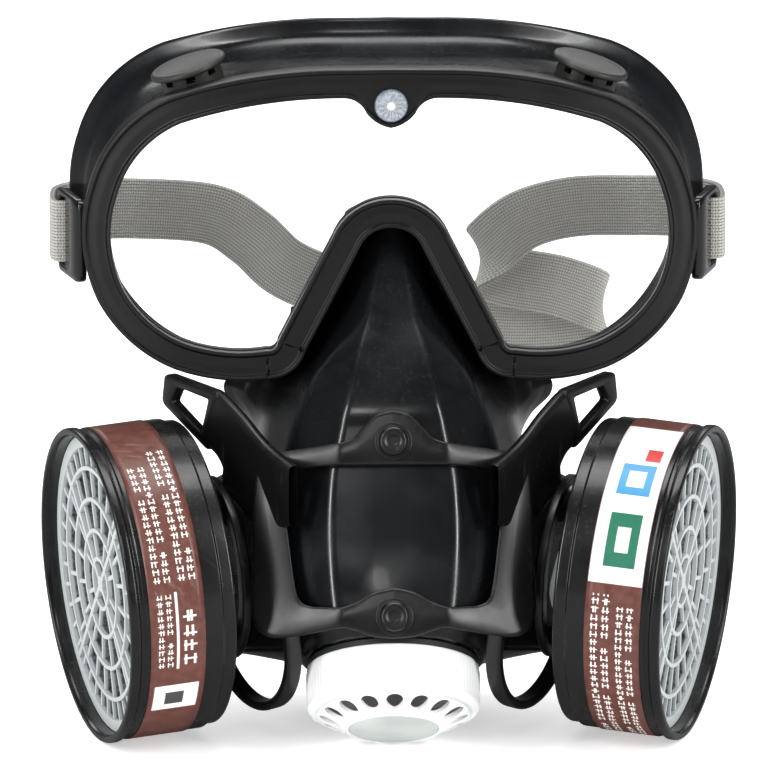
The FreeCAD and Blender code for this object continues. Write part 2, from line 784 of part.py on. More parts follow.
def make_shell(name, side):
    shell = turned("cartridge_shell_" + name, [
        ("spigot_bore", "-spigot_length"),
        ("spigot_radius", "-spigot_length"),
        ("spigot_radius", "0"),
        ("can_foot_radius", "0"),
        ("can_foot_radius", "can_foot_length"),
        ("can_radius", "can_foot_length + can_step"),
        ("can_radius", "can_length - can_bead_width - can_step"),
        ("can_bead_radius", "can_length - can_bead_width"),
        ("can_bead_radius", "can_length"),
        ("can_radius - can_wall + can_step", "can_length"),
        ("can_radius - can_wall", "can_length - 2 * can_step"),
        ("can_radius - can_wall", "can_back"),
        ("spigot_bore", "can_back"),
    ])
    length = size("can_length")
    bead = size("can_bead_radius")
    round_edges(shell, "can_edge", lambda r, z: (near(z, length) and near(r, bead))
                or (near(z, 0) and near(r, size("can_foot_radius"))))
    finish(shell, "cartridge_shell_" + name, cartridge_frame(side))


def make_label(name, side):
    sleeve = tube("cartridge_label_" + name, "can_radius + label_glue + label_thickness", "can_radius + label_glue",
                  "label_width", "label_start")
    finish(sleeve, "cartridge_label_" + name, cartridge_frame(side))


def make_grille(name, side):
    """Concentric rings and ribs, the ribs doubling in number from ring to ring outward."""
    outer = size("can_radius") - size("can_wall") - size("filler_clearance")
    lift = "can_length - grille_setback"
    rib = size("grille_rib")
    prefix = "grille_" + name
    reach = "(can_radius - can_wall - filler_clearance)"
    pieces = [
        tube(prefix + "_rim", reach, reach + " - grille_rim", "grille_thickness", lift),
        cylinder(prefix + "_hub", "grille_hub", "grille_thickness", lift),
    ]
    rings = [0.17, 0.36, 0.57, 0.78]  # as shares of the outer radius
    counts = [8, 16, 24, 40]  # ribs outside each ring
    for ring in rings:
        pieces.append(tube("%s_ring_%d" % (prefix, round(100 * ring)), "%s * %s + grille_rib / 2" % (reach, ring),
                           "%s * %s - grille_rib / 2" % (reach, ring), "grille_thickness", lift))
    stops = rings + [1 - (size("grille_rim") - size("grille_join")) / outer]
    for band, count in enumerate(counts):
        start = stops[band] * outer
        length = (stops[band + 1] - stops[band]) * outer
        for i in range(count):
            pieces.append(spoke("%s_rib_%d_%d" % (prefix, band, i), (i + 0.5) * 360 / count, start,
                                str(length), "grille_rib", "grille_rib_height", lift))
    for quarter in range(4):
        pieces.append(spoke("%s_spoke_%d" % (prefix, quarter), 45 + 90 * quarter, rib, str(outer - 2 * rib),
                            "grille_spoke", "grille_thickness", lift))
    finish(fused(prefix, pieces), prefix, cartridge_frame(side))


def make_fillings(name, side):
    inner = "can_radius - can_wall - filler_clearance"
    layers = [
        ("rear_screen_", "screen_thickness", "can_back + layer_gap"),
        ("carbon_bed_", "carbon_depth", "can_back + 2 * layer_gap + screen_thickness"),
        ("dust_filter_", "dust_filter_depth", "can_back + 3 * layer_gap + screen_thickness + carbon_depth"),
    ]
    for label, depth, lift in layers:
        disc = cylinder(label + name, inner, depth, lift)
        doc.recompute()
        local = disc.Placement.Base.z
        disc.setExpression("Placement.Base.z", None)
        frame = cartridge_frame(side)
        finish(disc, label + name, frame.multiply(FreeCAD.Placement(FreeCAD.Vector(0, 0, local),
                                                                    FreeCAD.Rotation())))


def make_gasket(name, side):
    gasket = turned("inlet_gasket_" + name, [
        ("spigot_radius + gasket_slack", "-gasket_gap - gasket_thickness"),
        ("gasket_radius", "-gasket_gap - gasket_thickness"),
        ("gasket_radius", "-gasket_gap"),
        ("spigot_radius + gasket_slack", "-gasket_gap"),
    ])
    finish(gasket, "inlet_gasket_" + name, cartridge_frame(side))


def make_socket(name, side):
    front = "-2 * gasket_gap - gasket_thickness"
    socket = turned("cartridge_socket_" + name, [
        ("spigot_radius + thread_clearance", "-socket_length - socket_flange - socket_step"),
        ("socket_flange_radius", "-socket_length - socket_flange - socket_step"),
        ("socket_flange_radius", "-socket_length - socket_step"),
        ("socket_radius", "-socket_length - socket_step"),
        ("socket_radius", front),
        ("spigot_radius + thread_clearance", front),
    ])
    finish(socket, "cartridge_socket_" + name, cartridge_frame(side))


def spider(prefix, rim, land, hub, thickness, lift, stud_top, stud_down):
    """A valve seat: rim ring, hub, four ribs, and a stud with a head that keeps the flap on."""
    low = "(%s)" % lift
    parts = [
        tube(prefix + "_rim", rim, land, thickness, low),
        cylinder(prefix + "_hub", hub, thickness, low),
    ]
    doc.recompute()
    for i in range(4):
        parts.append(spoke("%s_rib_%d" % (prefix, i), 90 * i, size("seat_hub") - size("seat_join"),
                           "%s - seat_hub + 2 * seat_join" % land, "seat_rib", thickness, low))
    if stud_down:
        parts.append(cylinder(prefix + "_stud", "stud_radius", stud_top, "%s - %s" % (low, stud_top)))
        parts.append(cylinder(prefix + "_head", "stud_head_radius", "stud_head",
                              "%s - %s - stud_head" % (low, stud_top)))
    else:
        parts.append(cylinder(prefix + "_stud", "stud_radius", stud_top, "%s + %s" % (low, thickness)))
        parts.append(cylinder(prefix + "_head", "stud_head_radius", "stud_head",
                              "%s + %s + %s" % (low, thickness, stud_top)))
    return fused(prefix, parts)


def make_inhalation_valve(name, side):
    seat_floor = "-socket_length - socket_flange - socket_step + part_gap"
    reach = "flap_gap + flap_thickness + flap_travel + stud_slack"
    seat = spider("inhalation_seat_" + name, "spigot_radius + thread_clearance - part_gap / 2", "seat_land", "seat_hub",
                  "seat_thickness", seat_floor, "(%s)" % reach, True)
    finish(seat, "inhalation_seat_" + name, cartridge_frame(side))
    flap = turned("inhalation_flap_" + name, [
        ("flap_hole", seat_floor + " - flap_gap - flap_thickness"),
        ("flap_radius", seat_floor + " - flap_gap - flap_thickness"),
        ("flap_radius", seat_floor + " - flap_gap"),
        ("flap_hole", seat_floor + " - flap_gap"),
    ])
    finish(flap, "inhalation_flap_" + name, cartridge_frame(side))


# ---------- exhalation valve ----------

def make_exhalation_valve():
    frame = outlet_frame()
    housing = turned("exhalation_housing", [
        ("outlet_seat_bore", "-outlet_seat_back - outlet_flange - part_gap"),
        ("outlet_flange_radius", "-outlet_seat_back - outlet_flange - part_gap"),
        ("outlet_flange_radius", "-outlet_seat_back - part_gap"),
        ("outlet_seat_radius - 1.5 * part_gap", "-outlet_seat_back - part_gap"),
        ("outlet_seat_radius - 1.5 * part_gap", "outlet_seat_front"),
        ("outlet_seat_bore", "outlet_seat_front"),
    ])
    finish(housing, "exhalation_housing", frame)
    lift = "seat_thickness"
    seat = spider("exhalation_seat", "outlet_seat_bore - part_gap / 2", "outlet_land", "seat_hub", "seat_thickness",
                  "-" + lift, "(flap_gap + flap_thickness + flap_travel + 2 * stud_slack)", False)
    finish(seat, "exhalation_seat", frame)
    flap = turned("exhalation_flap", [
        ("flap_hole", "flap_gap"),
        ("outlet_flap_radius", "flap_gap"),
        ("outlet_flap_radius", "flap_gap + flap_thickness"),
        ("flap_hole", "flap_gap + flap_thickness"),
    ])
    finish(flap, "exhalation_flap", frame)
    washer = turned("cap_washer", [
        ("cap_radius - cap_wall + part_gap", "-washer_gap - washer_thickness"),
        ("cap_radius", "-washer_gap - washer_thickness"),
        ("cap_radius", "-washer_gap"),
        ("cap_radius - cap_wall + part_gap", "-washer_gap"),
    ])
    finish(washer, "cap_washer", frame)
    make_cap(frame)


def make_cap(frame):
    cap = turned("exhalation_cap", [
        ("cap_radius - cap_wall", "0"),
        ("cap_radius", "0"),
        ("cap_radius", "cap_side"),
        ("cap_face_radius", "cap_length"),
        ("0", "cap_length"),
        ("0", "cap_length - cap_wall"),
        ("cap_face_radius - cap_corner", "cap_length - cap_wall"),
        ("cap_radius - cap_wall", "cap_side - cap_corner"),
    ])
    side = size("cap_side")
    round_edges(cap, "cap_edge", lambda r, z: near(z, side) and near(r, size("cap_radius")))
    sketch = cap.newObject("Sketcher::SketchObject", "cap_hole_outline")
    sketch.AttachmentSupport = [(origin_feature(cap, "XY_Plane"), "")]
    sketch.MapMode = "FlatFace"
    middle = FreeCAD.Vector(size("cap_hole_ring"), 0, 0)
    sketch.addGeometry(Part.Circle(middle, Z_AXIS, size("cap_hole_radius")), False)
    across = sketch.addConstraint(Sketcher.Constraint("DistanceX", -1, 1, 0, 3, middle.x))
    sketch.addConstraint(Sketcher.Constraint("PointOnObject", 0, 3, -1))
    bore = sketch.addConstraint(Sketcher.Constraint("Radius", 0, size("cap_hole_radius")))
    bind(sketch, "Constraints[%d]" % across, "cap_hole_ring")
    bind(sketch, "Constraints[%d]" % bore, "cap_hole_radius")
    doc.recompute()
    hole = cap.newObject("PartDesign::Pocket", "cap_hole")
    hole.Profile = sketch
    hole.Type = "ThroughAll"
    hole.Midplane = True
    doc.recompute()
    ring = cap.newObject("PartDesign::PolarPattern", "cap_holes")
    ring.Originals = [hole]
    ring.Axis = (origin_feature(cap, "Z_Axis"), [""])
    ring.Angle = 360
    ring.Occurrences = 16
    cap.Tip = ring
    doc.recompute()
    finish(cap, "exhalation_cap", frame)


# ---------- the whole mask ----------

def build():
    fill_sheet()
    make_goggle_frame()
    make_lens()
    make_lens_button()
    make_goggle_skirt()
    make_head_strap()
    make_facepiece()
    make_yoke()
    make_knobs()
    make_exhalation_valve()
    for name, side in SIDES.items():
        make_vents(name, side)
        make_clip(name, side)
        make_shell(name, side)
        make_label(name, side)
        make_grille(name, side)
        make_fillings(name, side)
        make_gasket(name, side)
        make_socket(name, side)
        make_inhalation_valve(name, side)
    doc.recompute()


def check():
    failed = [obj.Label for obj in doc.Objects if {"Invalid", "Error"} & set(obj.State)]
    failed += [obj.Label for obj in subparts if obj.Shape.isNull() or not obj.Shape.isValid()]
    if failed:
        raise RuntimeError("failed: " + ", ".join(failed))


def write_parts():
    os.makedirs("parts", exist_ok=True)
    for obj in subparts:
        obj.Shape.exportStep("parts/%s.step" % obj.Label)
        box = obj.Shape.BoundBox
        print("%-26s solids %d  volume %9.1f  x %6.1f..%6.1f  y %6.1f..%6.1f  z %6.1f..%6.1f" % (
            obj.Label, len(obj.Shape.Solids), obj.Shape.Volume,
            box.XMin, box.XMax, box.YMin, box.YMax, box.ZMin, box.ZMax))


build()
check()
write_parts()
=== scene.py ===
import json
import math

import bmesh
import bpy
import numpy as np
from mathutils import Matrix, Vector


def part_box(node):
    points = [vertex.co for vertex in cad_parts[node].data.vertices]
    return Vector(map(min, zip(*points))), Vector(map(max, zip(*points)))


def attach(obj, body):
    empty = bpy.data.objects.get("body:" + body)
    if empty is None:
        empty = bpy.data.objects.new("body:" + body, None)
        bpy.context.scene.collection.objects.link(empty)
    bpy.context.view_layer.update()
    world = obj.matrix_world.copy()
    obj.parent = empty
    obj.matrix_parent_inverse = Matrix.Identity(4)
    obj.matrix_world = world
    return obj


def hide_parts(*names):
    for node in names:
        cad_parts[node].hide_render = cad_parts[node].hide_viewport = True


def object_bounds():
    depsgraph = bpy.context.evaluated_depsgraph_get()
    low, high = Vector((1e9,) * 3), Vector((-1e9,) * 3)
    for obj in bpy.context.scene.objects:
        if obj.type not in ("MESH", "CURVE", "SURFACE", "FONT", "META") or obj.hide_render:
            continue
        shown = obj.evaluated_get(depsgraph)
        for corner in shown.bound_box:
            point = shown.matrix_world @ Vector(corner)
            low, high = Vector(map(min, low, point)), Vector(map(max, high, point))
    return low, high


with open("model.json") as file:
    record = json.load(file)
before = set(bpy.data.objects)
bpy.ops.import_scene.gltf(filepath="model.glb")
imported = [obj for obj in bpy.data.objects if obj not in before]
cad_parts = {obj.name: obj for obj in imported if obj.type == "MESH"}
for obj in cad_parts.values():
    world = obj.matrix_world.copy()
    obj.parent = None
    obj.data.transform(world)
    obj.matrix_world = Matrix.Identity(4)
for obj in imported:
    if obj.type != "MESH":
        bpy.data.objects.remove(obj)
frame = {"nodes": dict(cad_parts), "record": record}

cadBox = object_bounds()
nodes = frame["nodes"]
mm = 0.001
sides = {"left": -1.0, "right": 1.0}  # as someone facing the mask sees them
print("frame loaded:", len(nodes), "parts")


# grids, profiles and paths, all in millimetres until a piece is made

def gridQuads(rows, cols, loopRows, loopCols, first=0):
    # cell (i, j) joins its point to the next along both parameters; a loop wraps round to its start
    i = np.arange(rows if loopRows else rows - 1)
    j = np.arange(cols if loopCols else cols - 1)
    i, j = np.meshgrid(i, j, indexing="ij")
    i2, j2 = (i + 1) % rows, (j + 1) % cols
    return first + np.stack([i * cols + j, i2 * cols + j, i2 * cols + j2, i * cols + j2], -1).reshape(-1, 4)


def softened(corners, cut, steps=5, loop=True):
    # each corner becomes a parabola: (1-t)^2 * before + 2t(1-t) * corner + t^2 * after
    corners = np.asarray(corners, float)
    cut = np.broadcast_to(np.asarray(cut, float), corners.shape[:-1])

    def toward(other):
        # corner + (other - corner) * cut / length, at most 0.45 of the way
        span = other - corners
        length = np.linalg.norm(span, axis=-1)
        share = np.minimum(cut, 0.45 * length) / np.maximum(length, 1e-9)
        return corners + span * share[..., None]

    before, after = toward(np.roll(corners, 1, -2)), toward(np.roll(corners, -1, -2))
    if not loop:
        before[..., 0, :] = after[..., 0, :] = corners[..., 0, :]
        before[..., -1, :] = after[..., -1, :] = corners[..., -1, :]
    t = np.linspace(0, 1, steps)[:, None]
    curve = ((1 - t) ** 2 * before[..., None, :] + 2 * t * (1 - t) * corners[..., None, :]
             + t ** 2 * after[..., None, :])
    return curve.reshape(corners.shape[:-2] + (-1, corners.shape[-1]))


def smoothPath(points, count, loop=False):
    # Catmull-Rom: each span is the cubic through its ends, with slopes from the points on either side
    points = np.asarray(points, float)
    n = len(points)
    u = np.linspace(0, n if loop else n - 1, count, endpoint=not loop)
    i = np.minimum(u.astype(int), n - 1 if loop else n - 2)
    t = (u - i)[:, None]
    pick = (lambda k: points[k % n]) if loop else (lambda k: points[np.clip(k, 0, n - 1)])
    a, b, c, d = pick(i - 1), pick(i), pick(i + 1), pick(i + 2)
    return 0.5 * (2 * b + (c - a) * t + (2 * a - 5 * b + 4 * c - d) * t ** 2 + (3 * b - a - 3 * c + d) * t ** 3)


def smoothStep(x, low, high):
    # 3t^2 - 2t^3 between low and high, flat outside
    t = np.clip((x - low) / (high - low), 0, 1)
    return t * t * (3 - 2 * t)


def axisPlace(base, axis, up=(0, 0, 1)):
    # columns: sideways = up x axis, the nearest thing to up, the axis itself, and the base point
    axis = np.asarray(axis, float) / np.linalg.norm(axis)
    across = np.cross(up, axis)
    across /= np.linalg.norm(across)
    place = np.eye(4)
    place[:3, 0], place[:3, 1], place[:3, 2], place[:3, 3] = across, np.cross(axis, across), axis, base
    return place


def placed(place, points):
    # across * x + up * y + axis * z + base
    return points @ place[:3, :3].T + place[:3, 3]


def turned(profile, place, steps=120, ripple=None):
    # radius r and height h of the profile go to (r cos a, r sin a, h) for every angle a
    profile = np.asarray(profile, float)
    a = np.linspace(0, 2 * np.pi, steps, endpoint=False)[:, None]
    r = np.repeat(profile[None, :, 0], steps, 0)
    h = np.repeat(profile[None, :, 1], steps, 0)
    if ripple is not None:
        r = r + ripple(a, r, h)
    return placed(place, np.stack([r * np.cos(a), r * np.sin(a), h], -1))


def strip(path, section, up=(0, 0, 1), turn=None):
    # section (across, through) is carried along the path: point = path + across * side + through * normal
    path = np.asarray(path, float)
    ahead = np.gradient(path, axis=0)
    ahead /= np.linalg.norm(ahead, axis=1)[:, None]
    side = up - ahead * (ahead @ np.asarray(up, float))[:, None]
    side /= np.linalg.norm(side, axis=1)[:, None]
    normal = np.cross(ahead, side)
    if turn is not None:
        c, s = np.cos(turn)[:, None], np.sin(turn)[:, None]
        side, normal = side * c + normal * s, normal * c - side * s
    section = np.asarray(section, float)
    return path[:, None] + section[None, :, :1] * side[:, None] + section[None, :, 1:] * normal[:, None]


def piece(name, grids, material, body, replaced=(), merge=0.002):
    # a grid is (points, loop rows, loop cols) or (points, quads); together they become one mesh in metres
    allPoints, allQuads, first = [], [], 0
    for grid in grids:
        points = np.asarray(grid[0], float)
        if len(grid) == 3:
            quads = gridQuads(points.shape[0], points.shape[1], grid[1], grid[2])
        else:
            quads = grid[1]
        allPoints.append(points.reshape(-1, 3))
        allQuads.append(quads + first)
        first += len(allPoints[-1])
    mesh = bpy.data.meshes.new(name)
    mesh.from_pydata((np.concatenate(allPoints) * mm).tolist(), [], np.concatenate(allQuads).tolist())
    work = bmesh.new()
    work.from_mesh(mesh)
    bmesh.ops.remove_doubles(work, verts=work.verts, dist=merge * mm)
    bmesh.ops.recalc_face_normals(work, faces=work.faces)
    work.to_mesh(mesh)
    work.free()
    mesh.shade_smooth()
    obj = bpy.data.objects.new(name, mesh)
    bpy.context.scene.collection.objects.link(obj)
    mesh.materials.append(material)
    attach(obj, body)
    if replaced:
        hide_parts(*replaced)
    return obj


def finishWith(obj, kind, **values):
    # adds a modifier and applies it at once, so that the mesh itself is the finished shape
    modifier = obj.modifiers.new(kind.lower(), kind)
    for key, value in values.items():
        setattr(modifier, key, value)
    graph = bpy.context.evaluated_depsgraph_get()
    finished = bpy.data.meshes.new_from_object(obj.evaluated_get(graph))
    obj.modifiers.clear()
    obj.data = finished
    return obj


# shader groups and materials

def makeGroup(name, inputs, outputs):
    group = bpy.data.node_groups.new(name, "ShaderNodeTree")
    for label, kind, value in inputs:
        item = group.interface.new_socket(label, in_out="INPUT", socket_type=kind)
        if value is not None:
            item.default_value = value
    for label, kind in outputs:
        group.interface.new_socket(label, in_out="OUTPUT", socket_type=kind)
    return group, group.nodes.new("NodeGroupInput"), group.nodes.new("NodeGroupOutput")


def node(tree, kind, **settings):
    # adds a shader node and sets its properties
    made = tree.nodes.new("ShaderNode" + kind)
    for key, value in settings.items():
        setattr(made, key, value)
    return made


def math2(tree, operation, a, b=0.0, clamp=False):
    made = node(tree, "Math", operation=operation, use_clamp=clamp)
    for socket, value in zip(made.inputs, (a, b)):
        if isinstance(value, (int, float)):
            socket.default_value = value
        else:
            tree.links.new(value, socket)
    return made.outputs[0]


def ramp(tree, value, low, high, outLow=0.0, outHigh=1.0):
    # eases from one output to the other while the value goes from low to high
    made = node(tree, "MapRange", interpolation_type="SMOOTHSTEP")
    for socket, number in zip(made.inputs[1:5], (low, high, outLow, outHigh)):
        socket.default_value = number
    tree.links.new(value, made.inputs[0])
    return made.outputs[0]


def noise(tree, coords, scale, detail=3.0, roughness=0.55):
    # fractal noise as a plain number
    made = node(tree, "TexNoise")
    made.inputs["Scale"].default_value = scale
    made.inputs["Detail"].default_value = detail
    made.inputs["Roughness"].default_value = roughness
    tree.links.new(coords, made.inputs["Vector"])
    return made.outputs["Fac"]


def mixColour(tree, share, a, b, blend="MIX"):
    made = node(tree, "Mix", data_type="RGBA", blend_type=blend)
    for socket, value in ((made.inputs[0], share), (made.inputs[6], a), (made.inputs[7], b)):
        if isinstance(value, (int, float)):
            socket.default_value = value
        elif isinstance(value, tuple):
            socket.default_value = value
        else:
            tree.links.new(value, socket)
    return made.outputs[2]


def grainGroup():
    # moulded skin: a fine noise for height, and a slow one for changes in gloss
    group, given, out = makeGroup("mouldedGrain", [("Coords", "NodeSocketVector", None),
                                                   ("Fine", "NodeSocketFloat", 2500.0),
                                                   ("Slow", "NodeSocketFloat", 60.0)],
                                  [("Height", "NodeSocketFloat"), ("Cloud", "NodeSocketFloat")])
    fine, slow = node(group, "TexNoise"), node(group, "TexNoise")
    for tex, scale, output in ((fine, "Fine", "Height"), (slow, "Slow", "Cloud")):
        tex.inputs["Detail"].default_value = 4.0
        group.links.new(given.outputs["Coords"], tex.inputs["Vector"])
        group.links.new(given.outputs[scale], tex.inputs["Scale"])
        group.links.new(tex.outputs["Fac"], out.inputs[output])
    return group


def scuffGroup():
    # hairline scratches: a noise stretched along one axis, kept only where a second noise allows it
    group, given, out = makeGroup("hairScuffs", [("Coords", "NodeSocketVector", None),
                                                 ("Scale", "NodeSocketFloat", 90.0),
                                                 ("Amount", "NodeSocketFloat", 0.5)],
                                  [("Mask", "NodeSocketFloat")])
    stretch = node(group, "Mapping")
    stretch.inputs["Rotation"].default_value = (0.5, 0.3, 0.7)
    stretch.inputs["Scale"].default_value = (1.0, 14.0, 1.6)
    group.links.new(given.outputs["Coords"], stretch.inputs["Vector"])
    lines, patch = node(group, "TexNoise"), node(group, "TexNoise")
    group.links.new(stretch.outputs[0], lines.inputs["Vector"])
    group.links.new(given.outputs["Coords"], patch.inputs["Vector"])
    group.links.new(given.outputs["Scale"], lines.inputs["Scale"])
    patch.inputs["Scale"].default_value = 35.0
    found = math2(group, "MULTIPLY", ramp(group, lines.outputs["Fac"], 0.6, 0.72),
                  ramp(group, patch.outputs["Fac"], 0.48, 0.66))
    group.links.new(math2(group, "MULTIPLY", found, given.outputs["Amount"]), out.inputs["Mask"])
    return group


def dustGroup():
    # fine dust settles where a surface faces up, in specks
    group, given, out = makeGroup("settledDust", [("Coords", "NodeSocketVector", None),
                                                  ("Amount", "NodeSocketFloat", 0.2)],
                                  [("Mask", "NodeSocketFloat")])
    facing = node(group, "NewGeometry")
    split = node(group, "SeparateXYZ")
    group.links.new(facing.outputs["Normal"], split.inputs[0])
    specks = noise(group, given.outputs["Coords"], 900.0, 2.0)
    found = math2(group, "MULTIPLY", ramp(group, split.outputs["Z"], 0.1, 0.9),
                  ramp(group, specks, 0.56, 0.7))
    group.links.new(math2(group, "MULTIPLY", found, given.outputs["Amount"]), out.inputs["Mask"])
    return group


grain, scuffs, dust = grainGroup(), scuffGroup(), dustGroup()


def useGroup(tree, group, coords, **values):
    made = node(tree, "Group", node_tree=group)
    tree.links.new(coords, made.inputs["Coords"])
    for key, value in values.items():
        made.inputs[key].default_value = value
    return made


def newMaterial(name):
    material = bpy.data.materials.new(name)
    material.use_nodes = True
    tree = material.node_tree
    shader = tree.nodes["Principled BSDF"]
    coords = node(tree, "TexCoord").outputs["Object"]
    return material, tree, shader, coords


def addBump(tree, shader, height, strength, distance):
    bump = node(tree, "Bump")
    bump.inputs["Strength"].default_value = strength
    bump.inputs["Distance"].default_value = distance
    tree.links.new(height, bump.inputs["Height"])
    tree.links.new(bump.outputs[0], shader.inputs["Normal"])
    return bump


def moulded(name, colour, rough, gloss=0.0, fine=2500.0, depth=0.00001, scuff=0.4, dusty=0.1,
            spread=0.12, worn=None):
    # rubber or plastic: cloudy gloss, fine skin, hair scratches and a little dust
    material, tree, shader, coords = newMaterial(name)
    skin = useGroup(tree, grain, coords, Fine=fine)
    lines = useGroup(tree, scuffs, coords, Amount=scuff)
    specks = useGroup(tree, dust, coords, Amount=dusty)
    worn = worn or tuple(min(1.0, c * 1.6 + 0.02) for c in colour)
    cloud = ramp(tree, skin.outputs["Cloud"], 0.3, 0.7)
    tint = mixColour(tree, cloud, (*colour, 1), (*(c * 1.25 for c in colour), 1))
    tint = mixColour(tree, lines.outputs["Mask"], tint, (*worn, 1))
    tint = mixColour(tree, specks.outputs["Mask"], tint, (0.55, 0.54, 0.52, 1))
    tree.links.new(tint, shader.inputs["Base Color"])
    base = ramp(tree, skin.outputs["Cloud"], 0.3, 0.7, rough, rough + spread)
    rougher = math2(tree, "ADD", base, math2(tree, "MULTIPLY", lines.outputs["Mask"], 0.35))
    tree.links.new(math2(tree, "ADD", rougher, math2(tree, "MULTIPLY", specks.outputs["Mask"], 0.5), True),
                   shader.inputs["Roughness"])
    shader.inputs["Coat Weight"].default_value = gloss
    shader.inputs["Coat Roughness"].default_value = 0.06
    addBump(tree, shader, skin.outputs["Height"], 0.5, depth)
    return material


black = (0.0035, 0.0037, 0.0042)
finish = {
    "facepiece_rubber": moulded("facepieceRubber", (0.003, 0.0034, 0.0042), 0.17, 0.15, 900, 0.000005, 0.06,
                                0.015),
    "skirt_rubber": moulded("skirtRubber", (0.003, 0.0036, 0.0048), 0.2, 0.15, 1400, 0.000005, 0.08, 0.02),
    "goggle_rim": moulded("rimPlastic", (0.003, 0.003, 0.003), 0.3, 0.0, 3200, 0.00001, 0.15, 0.02),
    "yoke_plastic": moulded("yokePlastic", (0.0038, 0.0038, 0.004), 0.27, 0.05, 2600, 0.00001, 0.35, 0.03,
                            worn=(0.06, 0.055, 0.05)),
    "clip_plastic": moulded("clipPlastic", black, 0.12, 0.3, 2600, 0.00001, 0.2, 0.02),
    "knob_rubber": moulded("knobRubber", black, 0.25, 0.1, 2200, 0.00001, 0.3, 0.03),
    "can_plastic": moulded("canPlastic", (0.004, 0.004, 0.0042), 0.2, 0.1, 2800, 0.00001, 0.2, 0.03),
    "vent_plastic": moulded("ventPlastic", (0.02, 0.021, 0.018), 0.38, 0.0, 2000, 0.00001, 0.5, 0.05),
    "valve_white": moulded("valveWhite", (0.66, 0.67, 0.665), 0.36, 0.0, 2400, 0.00001, 0.12, 0.0,
                           worn=(0.58, 0.58, 0.58)),
    "valve_grey": moulded("valveGrey", (0.42, 0.44, 0.43), 0.38, 0.0, 2400, 0.00002, 0.3, 0.05),
    "flap_silicone": moulded("flapSilicone", (0.5, 0.5, 0.47), 0.35, 0.0, 1800, 0.00001, 0.1, 0.0),
    "gasket_rubber": moulded("gasketRubber", (0.012, 0.012, 0.012), 0.5, 0.0, 1500, 0.00002, 0.2, 0.03),
    "grille_plastic": moulded("grillePlastic", (0.4, 0.43, 0.435), 0.42, 0.0, 2600, 0.00002, 0.15, 0.03),
}
finish["valve_white"].node_tree.nodes["Principled BSDF"].inputs["Subsurface Weight"].default_value = 0.15
finish["valve_white"].node_tree.nodes["Principled BSDF"].inputs["Subsurface Scale"].default_value = 0.003


def clearPlastic(name, colour, rough):
    # clear sheet: lamps shine through it, and light marks show as changes in gloss
    material, tree, shader, coords = newMaterial(name)
    shader.inputs["Base Color"].default_value = (*colour, 1)
    shader.inputs["Transmission Weight"].default_value = 1.0
    shader.inputs["IOR"].default_value = 1.12
    lines = useGroup(tree, scuffs, coords, Scale=60.0, Amount=0.12)
    tree.links.new(math2(tree, "ADD", lines.outputs["Mask"], rough), shader.inputs["Roughness"])
    through = node(tree, "BsdfTransparent")
    through.inputs[0].default_value = (*colour, 1)
    lamp = node(tree, "LightPath")
    mix = node(tree, "MixShader")
    tree.links.new(lamp.outputs["Is Shadow Ray"], mix.inputs[0])
    tree.links.new(shader.outputs[0], mix.inputs[1])
    tree.links.new(through.outputs[0], mix.inputs[2])
    tree.links.new(mix.outputs[0], tree.nodes["Material Output"].inputs[0])
    return material


finish["clear_lens"] = clearPlastic("clearLens", (0.97, 0.98, 0.98), 0.01)


def buttonMaterial():
    # cloudy plug: radial marks from its middle, which is paler
    material, tree, shader, coords = newMaterial("cloudyPlug")
    low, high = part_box("lens_button")
    centre = node(tree, "Mapping")
    centre.inputs["Location"].default_value = tuple(-(low[k] + high[k]) / 2 for k in range(3))
    tree.links.new(coords, centre.inputs["Vector"])
    split = node(tree, "SeparateXYZ")
    tree.links.new(centre.outputs[0], split.inputs[0])
    turn = math2(tree, "ARCTAN2", split.outputs["Z"], split.outputs["X"])
    out = math2(tree, "SQRT",
                math2(tree, "ADD", math2(tree, "MULTIPLY", split.outputs["X"], split.outputs["X"]),
                                    math2(tree, "MULTIPLY", split.outputs["Z"], split.outputs["Z"])))
    polar = node(tree, "CombineXYZ")
    tree.links.new(turn, polar.inputs[0])
    tree.links.new(math2(tree, "MULTIPLY", out, 120.0), polar.inputs[1])
    streaks = noise(tree, polar.outputs[0], 5.0, 4.0, 0.7)
    tint = mixColour(tree, ramp(tree, streaks, 0.35, 0.7), (0.15, 0.17, 0.19, 1), (0.33, 0.36, 0.38, 1))
    tint = mixColour(tree, ramp(tree, out, 0.0009, 0.0013, 1.0, 0.0), tint, (0.6, 0.58, 0.52, 1))
    tint = mixColour(tree, ramp(tree, out, 0.0039, 0.0043), tint, (0.1, 0.12, 0.15, 1))
    tree.links.new(tint, shader.inputs["Base Color"])
    tree.links.new(ramp(tree, streaks, 0.3, 0.7, 0.15, 0.4), shader.inputs["Roughness"])
    shader.inputs["Coat Weight"].default_value = 0.5
    addBump(tree, shader, streaks, 0.4, 0.00005)
    return material


def granules():
    # packed carbon: rounded cells, with painted shade darkening the gaps between them
    material, tree, shader, coords = newMaterial("carbonGranules")
    cells = node(tree, "TexVoronoi")
    cells.inputs["Scale"].default_value = 700.0
    tree.links.new(coords, cells.inputs["Vector"])
    # painted shade: each cell darker towards its edge
    tint = mixColour(tree, ramp(tree, cells.outputs["Distance"], 0.1, 0.6), (0.03, 0.03, 0.03, 1),
                     (0.004, 0.004, 0.004, 1))
    tree.links.new(tint, shader.inputs["Base Color"])
    tree.links.new(ramp(tree, cells.outputs["Distance"], 0.0, 0.6, 0.35, 0.9), shader.inputs["Roughness"])
    addBump(tree, shader, math2(tree, "SUBTRACT", 1.0, cells.outputs["Distance"]), 1.0, 0.0006)
    return material


